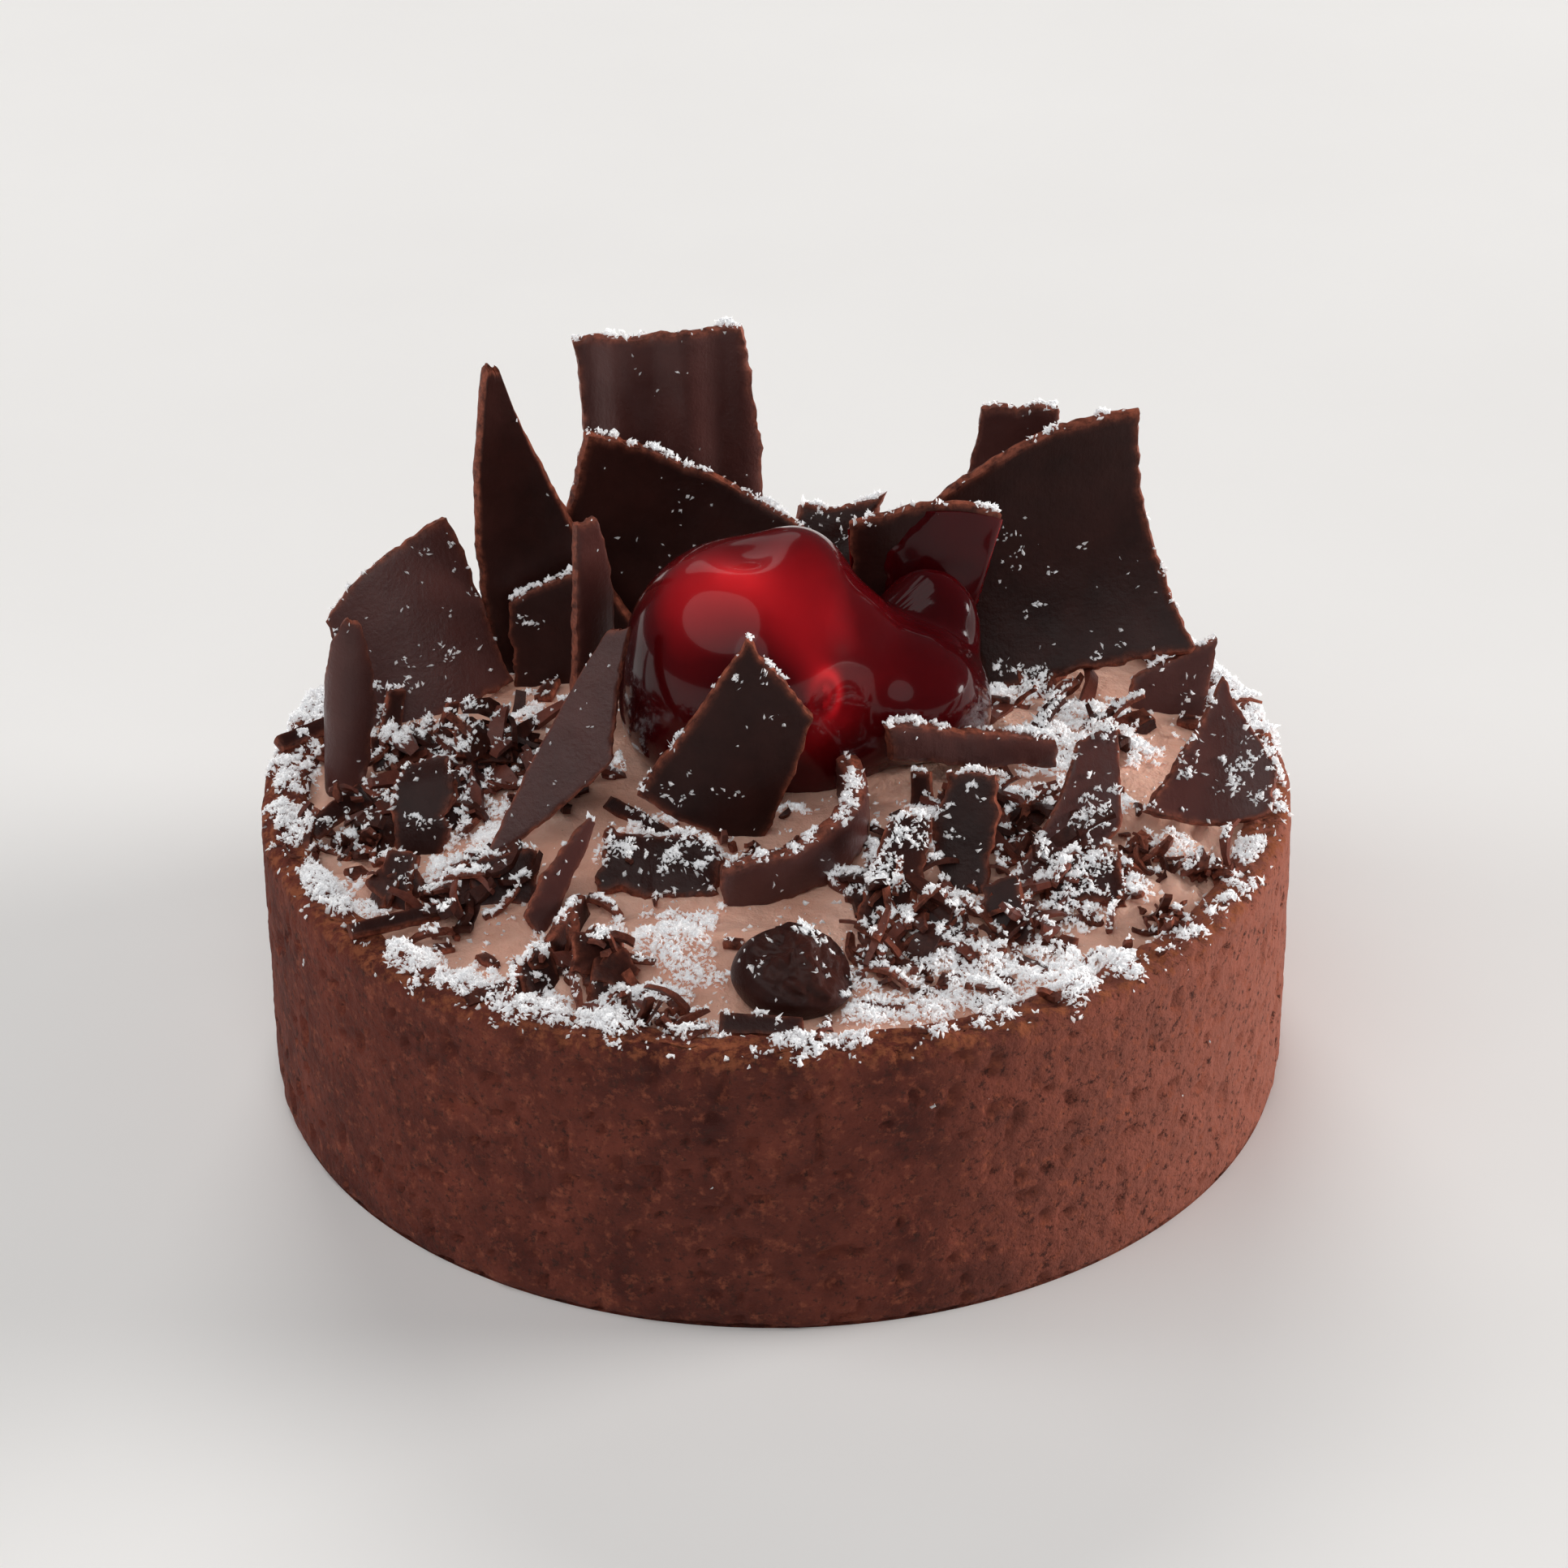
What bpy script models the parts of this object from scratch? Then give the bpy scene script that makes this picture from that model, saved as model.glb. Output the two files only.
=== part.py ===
"""A small chocolate tart: a cocoa shell filled with chocolate cream, set with a glazed cherry and chocolate shards.

The origin is at the middle of the tart's underside, with +Z up and the front of the tart towards -Y.
"""

import math
import random

import bmesh
import bpy
from mathutils import Matrix, Vector, noise
from mathutils.bvhtree import BVHTree

MM = 0.001

# The shell, baked in a plain ring
TART_DIAMETER = 70 * MM
TART_HEIGHT = 20.6 * MM
WALL = 3.3 * MM
FLOOR = 3.0 * MM
RIM_ROUND = 0.9 * MM
BASE_ROUND = 0.5 * MM
INNER_ROUND = 1.6 * MM
RIM_CRAGS = 0.3 * MM
WALL_DENTS = 0.12 * MM
SHELL_STEPS = 84

# The cream, which fills the shell and rises in a soft dome
CREAM_EDGE = 19.6 * MM
CREAM_RISE = 3.4 * MM
CREAM_STEPS = 60
CREAM_RINGS = 11
CREAM_WAVES = 0.22 * MM
CREAM_WAVE_LENGTH = 7 * MM

# Clearance that touching pieces keep
GAP = 0.3 * MM

TART_RADIUS = TART_DIAMETER / 2
INNER_RADIUS = TART_RADIUS - WALL

# Soft folds left by the spoon: place, direction in degrees, half length, half width and height, in mm
CREAM_FOLDS = (
    dict(at=(-6, -22.5), heading=4, length=9, width=1.6, height=0.7),
    dict(at=(8, -19.5), heading=20, length=7, width=1.8, height=0.5),
    dict(at=(-21, -15), heading=-50, length=6, width=2.0, height=0.6),
    dict(at=(25, -12), heading=60, length=5, width=2.4, height=0.7),
    dict(at=(-17, 3), heading=75, length=6, width=3.0, height=0.6),
    dict(at=(12, 22), heading=-25, length=8, width=2.2, height=0.6),
    dict(at=(-12, 25), heading=25, length=7, width=2.0, height=0.6),
)

# The glazed cherry: the lobes of its surface, in mm, which flow into one another. The glaze pools round
# its foot, runs off to its right and climbs the shard there.
CHERRY_LOBES = (
    dict(centre=(-1.9, 0, 29.7), half=(8.2, 8.3, 8.3)),
    dict(centre=(1.3, 1.5, 34.4), half=(3.6, 4.2, 3.9)),
    dict(centre=(-4.6, 0.2, 26), half=(5.6, 6, 5)),
    dict(centre=(2, -1, 24.5), half=(5.5, 5, 4.5)),
    dict(centre=(4.4, 0.6, 30), half=(4, 4.4, 4.4)),
    dict(centre=(8.6, 0.2, 26.8), half=(5, 4.6, 4.6)),
    dict(centre=(10.4, 5.4, 29), half=(3.5, 2.3, 4.4)),
    dict(centre=(11.4, 2.6, 24.4), half=(3.2, 3.6, 4)),
)
CHERRY_HUB = (2.5, 0.8, 27.5)
CHERRY_REACH = 16
CHERRY_BLEND = 0.8
CHERRY_DIMPLE = dict(at=(-1.6, 0.6, 38.6), depth=1.5, spread=2.6)

# The round chocolate drop at the front, in mm and degrees
DROP = dict(at=(1.1, -26.6), half=(4.0, 3.3, 2.6), lift=1.4, tip=18, broken_at=2.3)

# Chocolate shards, in mm and degrees. Each is a plate that stands on the cream at "at". "turn" swings
# its face round from the front and "lean" tips its top away. "corners" are bottom left, bottom right,
# top right and top left, seen from its face, and "bow" is how far its bottom, right, top and left sides
# swell out. "curl" is the direction of the axis that it is rolled round, and the radius: a plate with a
# positive radius bulges towards its face. "lift" raises it off the cream.
SHARDS = {
    "shard_back_tall": dict(
        at=(-7, 21.5), turn=0, lean=5, thick=1.1, curl=(90, 16), ripple=(0.3, 4.4),
        corners=((-4.5, -1.5), (5.5, -1.5), (5, 22), (-7, 21)), bow=(0, 0.9, 0.2, 0)),
    "shard_back_low": dict(
        at=(-5, 16.5), turn=-5, lean=12, thick=1.1, curl=(60, -22),
        corners=((-10, -1.5), (5, -1.5), (7, 9), (-8.2, 16)), bow=(0, 0, 0.4, 0.8)),
    "shard_spike": dict(
        at=(-14.5, 15.5), turn=8, lean=5, thick=1.1, curl=(80, -14),
        corners=((-5, -1.5), (5.5, -1.5), (-4.2, 22.6), (-5.1, 22.6)), bow=(0, 0.7, 0, 1)),
    "shard_left_inner": dict(
        at=(-14.8, 12.2), turn=-10, lean=10, thick=1.0,
        corners=((-3.2, -1.5), (2, -1.5), (1.8, 8.4), (-3.7, 5.3))),
    "shard_left_wide": dict(
        at=(-24.5, 9.4), turn=12, lean=28, thick=1.0, curl=(105, 14),
        corners=((-3.5, -1.5), (6.6, 1.6), (3.4, 13.4), (-5.9, 7.2)), bow=(0, 0, 0.8, -0.3)),
    "shard_left_fold": dict(
        at=(-30.3, 0.3), turn=-25, lean=8, thick=0.9, curl=(92, 1.6),
        corners=((-1.1, -1), (1.8, -1), (1.9, 12.5), (0.9, 12.5)), bow=(0, 1.2, 0, 0.9)),
    "shard_twist": dict(
        at=(-12, 5), turn=50, lean=0, thick=0.9, curl=(75, 6),
        corners=((-2.8, -1.5), (2, -1.5), (0.3, 15.4), (-1.2, 15.2)), bow=(0, 0.6, 0, 0)),
    "shard_blade_left": dict(
        at=(-18.6, -12.3), turn=-10, lean=36, thick=1.0, curl=(60, 20),
        corners=((-0.6, 0.2), (7.2, 7.8), (7.6, 16.4), (6.2, 16.2)), bow=(0.3, -0.2, 0, 0.3)),
    "shard_front": dict(
        at=(-3.5, -11), turn=5, lean=8, thick=1.0, curl=(60, 25),
        corners=((-5.4, 3.2), (2.2, -1.5), (6.1, 8.1), (2, 13.5))),
    "shard_glazed": dict(
        at=(11, 7.4), turn=5, lean=5, thick=1.0, curl=(90, 14),
        corners=((-5, -1), (0.5, -1), (4.9, 13.1), (-5.8, 13.2)), bow=(0, -0.2, 1.4, 0)),
    "shard_right_big": dict(
        at=(20.7, 12), turn=0, lean=18, thick=1.1, curl=(20, -20),
        corners=((-6, -0.5), (8.6, 2.5), (4.4, 19.8), (-10, 12.8)), bow=(-0.3, -1.2, 1.5, 0)),
    "shard_right_back": dict(
        at=(17, 20), turn=-5, lean=5, thick=1.0, curl=(90, 15),
        corners=((-5.5, -1.5), (4.5, -1.5), (2.7, 17.1), (-2.4, 17))),
    "shard_right_small": dict(
        at=(26.8, 9.8), turn=10, lean=20, thick=1.0,
        corners=((-2, -0.8), (3, -0.8), (4, 4.3), (-2, 2.3))),
    "shard_right_low": dict(
        at=(28.2, -7.8), turn=10, lean=45, thick=1.0, lift=0.9, curl=(80, -14),
        corners=((-4, 1.2), (4.6, 0.2), (5.6, 3.3), (3, 9.9)), bow=(0.8, 0, -0.1, -0.3)),
    "shard_right_front": dict(
        at=(17.6, -14), turn=15, lean=48, thick=1.0, curl=(60, -16),
        corners=((-2.6, -0.2), (5.7, 2.4), (6.9, 9.5), (4.2, 8.6)), bow=(0.9, 0, 0, -0.5)),
    "shard_front_right": dict(
        at=(12.3, -16.1), turn=-10, lean=35, thick=0.9,
        corners=((-1.2, -1), (1.2, -1), (1.5, 7.1), (-2, 6.8)), bow=(0, 0.2, 0.2, 0.5)),
    "shard_dark_right": dict(
        at=(6.4, -19.9), turn=20, lean=45, thick=1.0,
        corners=((-1.7, -0.8), (0.8, -0.8), (5.1, 5.8), (2.6, 6.1)), bow=(0, 0.8, 0, 0)),
    "shard_blade_front": dict(
        at=(-15.5, -19.8), turn=35, lean=35, thick=0.8,
        corners=((-0.3, 1.2), (0, -0.6), (6.5, 5.2), (6.2, 5.6)), bow=(0, 0.2, 0, 0.5)),
    "shard_left_round": dict(
        at=(-23.9, -10.3), turn=-10, lean=40, thick=1.0,
        corners=((-1, -0.5), (1.9, -0.3), (1.6, 6.9), (-1.6, 6.5)), bow=(0.5, 0, 0.3, 0.3)),
    "shard_left_dark": dict(
        at=(-18.3, -16.4), turn=10, lean=45, thick=1.0,
        corners=((-1.6, -0.4), (2.6, -0.6), (2.7, 3.4), (-0.6, 3))),
    "shard_right_end": dict(
        at=(15, -20.4), turn=-20, lean=45, thick=1.0,
        corners=((-1.2, -0.4), (1.6, -0.4), (-0.4, 3.8), (-2.8, 2.8))),
    "shard_wedge": dict(
        at=(10.4, -21.2), turn=0, lean=40, thick=1.2,
        corners=((-1.6, -0.3), (1.9, -0.3), (1.7, 1.5), (-1.6, 2.3))),
    "curl_front": dict(
        at=(3.56, -14.9), turn=53, lean=4, thick=1.7, curl=(90, 7.8),
        corners=((-7.6, -0.6), (8.6, 1.2), (8.6, 4.4), (-7.6, 2.5))),
    "stick_right": dict(
        at=(13.2, -5), turn=17, lean=10, thick=1.6,
        corners=((-5.8, 3.7), (5.8, 1), (5.8, 2.8), (-5.8, 5.9))),
    "block_middle": dict(
        at=(-7.5, -16.6), turn=-3, lean=60, thick=1.6,
        corners=((-4, 0), (4, -0.3), (3.6, 3.6), (-3.8, 4.2))),
    "stick_middle": dict(
        at=(-9, -8.8), turn=-46, lean=60, thick=0.9,
        corners=((-3.2, -0.3), (3.2, -0.3), (3.2, 0.6), (-3.2, 0.7))),
    "stick_front": dict(
        at=(-0.8, -31.2), turn=-3, lean=60, thick=0.8, lift=0.5,
        corners=((-2.9, -0.2), (2.4, -0.4), (2.3, 0.9), (-2.8, 1.2))),
    "stick_left": dict(
        at=(-24.3, -18.7), turn=25, lean=60, thick=0.9, lift=1.2,
        corners=((-3.4, -0.4), (3.4, -0.5), (3.4, 0.4), (-3.4, 0.5))),
    "block_right": dict(
        at=(19.6, -17), turn=10, lean=50, thick=1.8,
        corners=((-2.2, 0.2), (3, -0.2), (3.4, 2.9), (-1.5, 2.9))),
    "splinter_front": dict(
        at=(-13.6, -21.2), turn=65, lean=15, thick=0.9,
        corners=((-1.9, -0.5), (3.2, 0), (3.2, 1.8), (-1.9, 1.2))),
    "block_front": dict(
        at=(-10.9, -26.1), turn=20, lean=45, thick=2.1,
        corners=((-1.2, -0.2), (1.8, 0), (2.0, 3.8), (-0.4, 3.5))),
    "chip_front": dict(
        at=(-14.9, -25.4), turn=30, lean=40, thick=1.6,
        corners=((-1.5, -0.4), (1.5, -0.4), (1.4, 2.6), (-1.2, 2.2))),
    "shard_left_near": dict(
        at=(-24.8, -15), turn=-30, lean=40, thick=0.9,
        corners=((-1.6, -0.3), (1, -0.3), (0.6, 3.7), (-1.9, 3.3))),
    "chip_left_a": dict(
        at=(-26.7, 7.4), turn=30, lean=15, thick=0.8,
        corners=((-0.8, -0.5), (0.6, -0.5), (1.7, 2.7), (0.6, 2.9))),
    "chip_left_b": dict(
        at=(-22.7, 5.1), turn=30, lean=20, thick=0.7,
        corners=((-1, -0.4), (0.2, -0.5), (1.5, 2.2), (0.8, 2.4))),
    "chip_left_c": dict(
        at=(-26.6, 1.9), turn=0, lean=40, thick=0.8,
        corners=((-0.7, -0.3), (0.8, -0.3), (0.4, 2.5), (-1, 2.2))),
    "chip_left_d": dict(
        at=(-19.5, -1.4), turn=20, lean=45, thick=1.2,
        corners=((-1.2, -0.4), (1.5, -0.4), (2.4, 3.4), (-0.6, 3.4))),
    "stick_rim": dict(
        at=(-31.9, 5.9), turn=42, lean=60, thick=0.9, lift=1.6,
        corners=((-2.7, -0.4), (2.7, -0.4), (2.7, 0.6), (-2.7, 0.6))),
    "curl_left": dict(
        at=(-28.8, -5.3), turn=55, lean=50, thick=0.8, lift=1.4, curl=(90, 6),
        corners=((-2.9, -0.5), (2.9, -0.5), (2.9, 1.1), (-2.9, 0.9))),
    "stick_back": dict(
        at=(3, 20), turn=0, lean=30, thick=1.6,
        corners=((-0.8, -1), (2.6, -1), (4.9, 9.6), (-1.5, 8.1)), bow=(0, 0, -0.4, 0)),
    "chip_cherry": dict(
        at=(9.9, -7.3), turn=-20, lean=15, thick=0.8,
        corners=((-0.9, -0.6), (0.6, -0.6), (0.2, 2.5), (-1.1, 2.3))),
}

PLATE_CELL = 2.6 * MM

# Small flakes of chocolate on the cream, in mm and degrees: x, y, heading, length and width
FLAKES = (
    (-6.4, -28, 110, 1.9, 0.9), (5.2, -16.9, 80, 3, 1.3), (6.2, -20.9, 15, 2.6, 1.2),
    (6.5, -23.6, 80, 1.7, 0.9), (9.5, -22.9, 5, 3, 1.4), (16.3, -23.9, -45, 2.6, 1),
    (18.4, -21.3, 60, 2, 1.2), (16.9, -18.8, -20, 1.3, 0.9), (23.8, -11.5, 70, 1.6, 1),
    (-20.7, -13.3, 50, 2, 1.4), (-21.4, -20.8, 10, 1.3, 0.9), (-18.4, -22.6, -50, 1.8, 0.8),
    (-29.1, 1.3, 5, 3, 1.1), (-27.1, -2.3, 60, 1.7, 1.3), (-18.4, 1.6, 5, 2, 0.8),
    (-17.9, -2.4, 60, 1.9, 1.3), (16.4, 10.7, 10, 2.6, 1.3), (19.5, 10.1, -10, 2.6, 1.2),
    (24.9, 6.8, 30, 2, 1.6), (22, 5.9, 20, 1.7, 1), (28.6, 7.6, -30, 1.6, 1),
    (-27.6, -11.3, 30, 1.5, 0.9), (10.6, -25.9, 70, 1.6, 0.9), (-4.6, -17.9, 20, 1.8, 0.8),
    (-2.7, -23, -10, 1.3, 0.8), (14.4, -25.4, -60, 1.8, 0.9), (12.2, -23.6, 0, 1.6, 1),
    (-16.6, -24.2, -30, 1.4, 0.9), (23, -12.8, 10, 1.4, 0.9), (14.4, -17.4, 10, 1.6, 1),
)

# More flakes behind the shards, strewn at random
SPARE_FLAKES = 16
FLAKE_TRIES = 400
FLAKE_LENGTH = (1.4, 3.2)
FLAKE_WIDTH = (0.8, 1.5)
FLAKE_THICK = 0.8 * MM
FLAKE_REACH = 28.5
FLAKE_FRONT = 6
FLAKE_CLEAR = 0.25 * MM
FLAKE_SEED = 7

COLOURS = {
    "crust": ((0.16, 0.055, 0.03), 0.75),
    "cream": ((0.62, 0.38, 0.27), 0.6),
    "chocolate": ((0.045, 0.02, 0.017), 0.4),
    "cherry": ((0.30, 0.008, 0.012), 0.08),
}


def material(name):
    """The named material, made once."""
    made = bpy.data.materials.get(name)
    if made is None:
        colour, roughness = COLOURS[name]
        made = bpy.data.materials.new(name)
        made.use_nodes = True
        shader = made.node_tree.nodes["Principled BSDF"]
        shader.inputs["Base Color"].default_value = (*colour, 1)
        shader.inputs["Roughness"].default_value = roughness
        shader.inputs["Metallic"].default_value = 0
    return made


def add_object(name, mesh, collection, material_name):
    """A new object for a mesh, in a collection."""
    made = bpy.data.objects.new(name, mesh)
    collection.objects.link(made)
    mesh.materials.clear()
    mesh.materials.append(material(material_name))
    return made


def baked(obj):
    """The mesh that an object's modifiers make."""
    graph = bpy.context.evaluated_depsgraph_get()
    return bpy.data.meshes.new_from_object(obj.evaluated_get(graph))


def turned(name, profile, steps, collection, material_name):
    """A solid turned round Z from a profile of (radius, height) points that runs down its outer side."""
    mesh = bpy.data.meshes.new(name)
    mesh.from_pydata([(x, 0, z) for x, z in profile], [(i, i + 1) for i in range(len(profile) - 1)], [])
    blank = add_object(name + "_blank", mesh, collection, material_name)
    screw = blank.modifiers.new("turn", "SCREW")
    screw.steps = screw.render_steps = steps
    screw.use_merge_vertices = True
    screw.merge_threshold = 0.01 * MM
    solid = add_object(name, baked(blank), collection, material_name)
    bpy.data.objects.remove(blank)
    return solid


def arc(centre, radius, start, end, points):
    """Points of an arc in a profile, from one angle to another, in degrees."""
    angles = [math.radians(start + (end - start) * i / (points - 1)) for i in range(points)]
    return [(centre[0] + radius * math.cos(a), centre[1] + radius * math.sin(a)) for a in angles]


def shell(collection):
    """The cocoa shell: a straight wall with a craggy rim, on a flat floor."""
    rim_inner = 0.6 * MM
    profile = [(0, FLOOR)]
    profile += arc((INNER_RADIUS - INNER_ROUND, FLOOR + INNER_ROUND), INNER_ROUND, -90, 0, 3)
    profile += arc((INNER_RADIUS + rim_inner, TART_HEIGHT - rim_inner), rim_inner, 180, 90, 3)
    profile += [(TART_RADIUS - WALL / 2, TART_HEIGHT)]
    profile += arc((TART_RADIUS - RIM_ROUND, TART_HEIGHT - RIM_ROUND), RIM_ROUND, 90, 0, 3)
    wall_heights = [TART_HEIGHT * share for share in (0.75, 0.52, 0.3)]
    profile += [(TART_RADIUS, z) for z in wall_heights]
    profile += arc((TART_RADIUS - BASE_ROUND, BASE_ROUND), BASE_ROUND, 0, -90, 3)
    profile += [(0, 0)]
    solid = turned("crust", profile, SHELL_STEPS, collection, "crust")
    for vertex in solid.data.vertices:
        roughen_shell(vertex)
    return solid


def roughen_shell(vertex):
    """Moves a point of the shell's outside or rim by a little relief, and leaves the base flat."""
    place = vertex.co
    radius = math.hypot(place.x, place.y)
    if radius > TART_RADIUS - 0.3 * WALL and place.z > 0:
        dent = WALL_DENTS * (1 + noise.noise(place / (3 * MM)))
        place.x *= 1 - dent / radius
        place.y *= 1 - dent / radius
    if radius > INNER_RADIUS + 0.1 * MM and place.z > TART_HEIGHT - RIM_ROUND / 2:
        place.z += RIM_CRAGS * noise.noise(place / (1.8 * MM))


def cream_height(x, y):
    """The height of the cream's surface: a dome with soft folds and waves."""
    radius = math.hypot(x, y)
    height = CREAM_EDGE + CREAM_RISE * math.cos(math.pi / 2 * min(radius / INNER_RADIUS, 1))
    height += CREAM_WAVES * noise.noise(Vector((x, y, 0)) / CREAM_WAVE_LENGTH)
    for fold in CREAM_FOLDS:
        heading = math.radians(fold["heading"])
        dx, dy = x - fold["at"][0] * MM, y - fold["at"][1] * MM
        along = (dx * math.cos(heading) + dy * math.sin(heading)) / (fold["length"] * MM)
        across = (dy * math.cos(heading) - dx * math.sin(heading)) / (fold["width"] * MM)
        height += fold["height"] * MM * math.exp(-(along**2) - across**2)
    return height


def ground_height(x, y):
    """The height of what toppings lie on: the cream, and the shell's rim round it."""
    over_rim = math.hypot(x, y) > INNER_RADIUS - GAP
    return max(cream_height(x, y), TART_HEIGHT + RIM_CRAGS) if over_rim else cream_height(x, y)


def cream_body(name, radius, bottom, surface, raised, collection):
    """A disc whose top follows a surface function, raised by a given amount."""
    top = TART_HEIGHT
    profile = [(radius * i / CREAM_RINGS, top) for i in range(CREAM_RINGS)]
    profile += [(radius, top), (radius, (top + bottom) / 2)]
    profile += arc((radius - INNER_ROUND, bottom + INNER_ROUND), INNER_ROUND, 0, -90, 3)
    profile += [(0, bottom)]
    solid = turned(name, profile, CREAM_STEPS, collection, "cream")
    for vertex in solid.data.vertices:
        if vertex.co.z > top - 0.1 * MM:
            vertex.co.z = surface(vertex.co.x, vertex.co.y) + raised
    return solid


def side_bulge(start, end, amount):
    """The push, outwards from a counter-clockwise outline, that bows the side from start to end."""
    side = end - start
    return Vector((side.y, -side.x)).normalized() * amount


def plate_flat(plate, s, t):
    """The flat place, in mm, of the point s of the way across a plate and t of the way up."""
    low_left, low_right, high_right, high_left = (Vector(c) for c in plate["corners"])
    bottom, right, top, left = plate.get("bow", (0, 0, 0, 0))
    place = low_left.lerp(low_right, s).lerp(high_left.lerp(high_right, s), t)
    across, up = 4 * s * (1 - s), 4 * t * (1 - t)
    place += side_bulge(low_left, low_right, bottom) * across * (1 - t)
    place += side_bulge(low_right, high_right, right) * up * s
    place += side_bulge(high_right, high_left, top) * across * t
    place += side_bulge(high_left, low_left, left) * up * (1 - s)
    return place


def plate_bent(plate, flat):
    """The place, in mm, of a flat point once the plate is rolled round its axis and rippled."""
    middle = sum((Vector(c) for c in plate["corners"]), Vector((0, 0))) / 4
    out = 0
    place = flat.copy()
    if "curl" in plate:
        heading, radius = math.radians(plate["curl"][0]), plate["curl"][1]
        along = Vector((math.cos(heading), math.sin(heading)))
        across = Vector((-along.y, along.x))
        reach = (flat - middle).dot(across)
        place = flat + across * (radius * math.sin(reach / radius) - reach)
        out = -radius * (1 - math.cos(reach / radius))
    if "ripple" in plate:
        height, length = plate["ripple"]
        out += height * math.sin(2 * math.pi * flat.x / length)
    return Vector((place.x, place.y, out))


def plate_frame(plate):
    """The matrix that stands a plate on the cream: its columns are across, up and out of its face."""
    turn, lean = math.radians(plate["turn"]), math.radians(plate["lean"])
    across = Vector((math.cos(turn), math.sin(turn), 0))
    up = Vector((-math.sin(turn) * math.sin(lean), math.cos(turn) * math.sin(lean), math.cos(lean)))
    x, y = (v * MM for v in plate["at"])
    foot = Vector((x, y, cream_height(x, y) + plate.get("lift", 0) * MM))
    frame = Matrix((across, up, across.cross(up))).transposed().to_4x4()
    return Matrix.Translation(foot) @ frame


def plate_cells(plate):
    """How many cells a plate's mesh has across and up."""
    low_left, low_right, high_right, high_left = (Vector(c) * MM for c in plate["corners"])
    wide = max((low_right - low_left).length, (high_right - high_left).length)
    high = max((high_left - low_left).length, (high_right - low_right).length)
    return [min(7, max(2, round(size / PLATE_CELL))) for size in (wide, high)]


def plate_solid(name, plate, collection):
    """A shard: a bent sheet given its thickness and cut off where it meets the cream."""
    across, up = plate_cells(plate)
    sheet = bmesh.new()
    bmesh.ops.create_grid(sheet, x_segments=across, y_segments=up, size=0.5)
    for vertex in sheet.verts:
        flat = plate_flat(plate, vertex.co.x + 0.5, vertex.co.y + 0.5)
        vertex.co = plate_bent(plate, flat) * MM
    mesh = bpy.data.meshes.new(name)
    sheet.to_mesh(mesh)
    sheet.free()
    solid = add_object(name, mesh, collection, "chocolate")
    solid.matrix_world = plate_frame(plate)
    thicken = solid.modifiers.new("thickness", "SOLIDIFY")
    thicken.thickness = plate["thick"] * MM
    thicken.offset = 0
    return solid


def cut(solid, cutter):
    """Cuts a cutter out of a solid."""
    trim = solid.modifiers.new("trim", "BOOLEAN")
    trim.operation = "DIFFERENCE"
    trim.solver = "EXACT"
    trim.object = cutter


def add_ball(name, rings, segments, collection, material_name):
    """A round ball of radius 1 m, for shaping."""
    body = bmesh.new()
    bmesh.ops.create_uvsphere(body, u_segments=segments, v_segments=rings, radius=1)
    mesh = bpy.data.meshes.new(name)
    body.to_mesh(mesh)
    body.free()
    return add_object(name, mesh, collection, material_name)


def cherry_distance(place):
    """Roughly how far a place, in mm, is outside the cherry's surface, or inside it where negative."""
    total = 0
    for lobe in CHERRY_LOBES:
        offset = [(p - c) / h for p, c, h in zip(place, lobe["centre"], lobe["half"])]
        share = math.sqrt(sum(o * o for o in offset))
        steep = math.sqrt(sum((o / h) ** 2 for o, h in zip(offset, lobe["half"])))
        total += math.exp(-share * (share - 1) / (steep + 1e-6) / CHERRY_BLEND)
    nearness = (place - Vector(CHERRY_DIMPLE["at"])).length / CHERRY_DIMPLE["spread"]
    return CHERRY_DIMPLE["depth"] * math.exp(-(nearness**2)) - CHERRY_BLEND * math.log(total)


def cherry_reach(direction):
    """How far the cherry's surface is from its hub in a direction, in mm."""
    near, far = 0, CHERRY_REACH
    for _ in range(24):
        middle = (near + far) / 2
        if cherry_distance(Vector(CHERRY_HUB) + direction * middle) < 0:
            near = middle
        else:
            far = middle
    return middle


def cherry(parts, cutters, ground):
    """The glazed cherry, which rests on the cream and stops short of the shard that its glaze climbs."""
    body = bmesh.new()
    bmesh.ops.create_icosphere(body, subdivisions=4, radius=1)
    for vertex in body.verts:
        direction = vertex.co.normalized()
        vertex.co = (Vector(CHERRY_HUB) + direction * cherry_reach(direction)) * MM
    mesh = bpy.data.meshes.new("cherry")
    body.to_mesh(mesh)
    body.free()
    fruit = add_object("cherry", mesh, parts, "cherry")
    cut(fruit, ground)
    cut(fruit, behind_plate("glazed_clearance", SHARDS["shard_glazed"], cutters))


def behind_plate(name, plate, collection):
    """A slab that covers a plate with clearance all round it, and reaches on behind it."""
    slab = plate_solid(name, plate, collection)
    front, back = (plate["thick"] / 2) * MM + GAP, 6 * MM
    slab.modifiers["thickness"].thickness = front + back
    slab.modifiers["thickness"].offset = (front - back) / (front + back)
    slab.data.transform(Matrix.Diagonal((1.08, 1.08, 1, 1)))
    return slab


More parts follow.
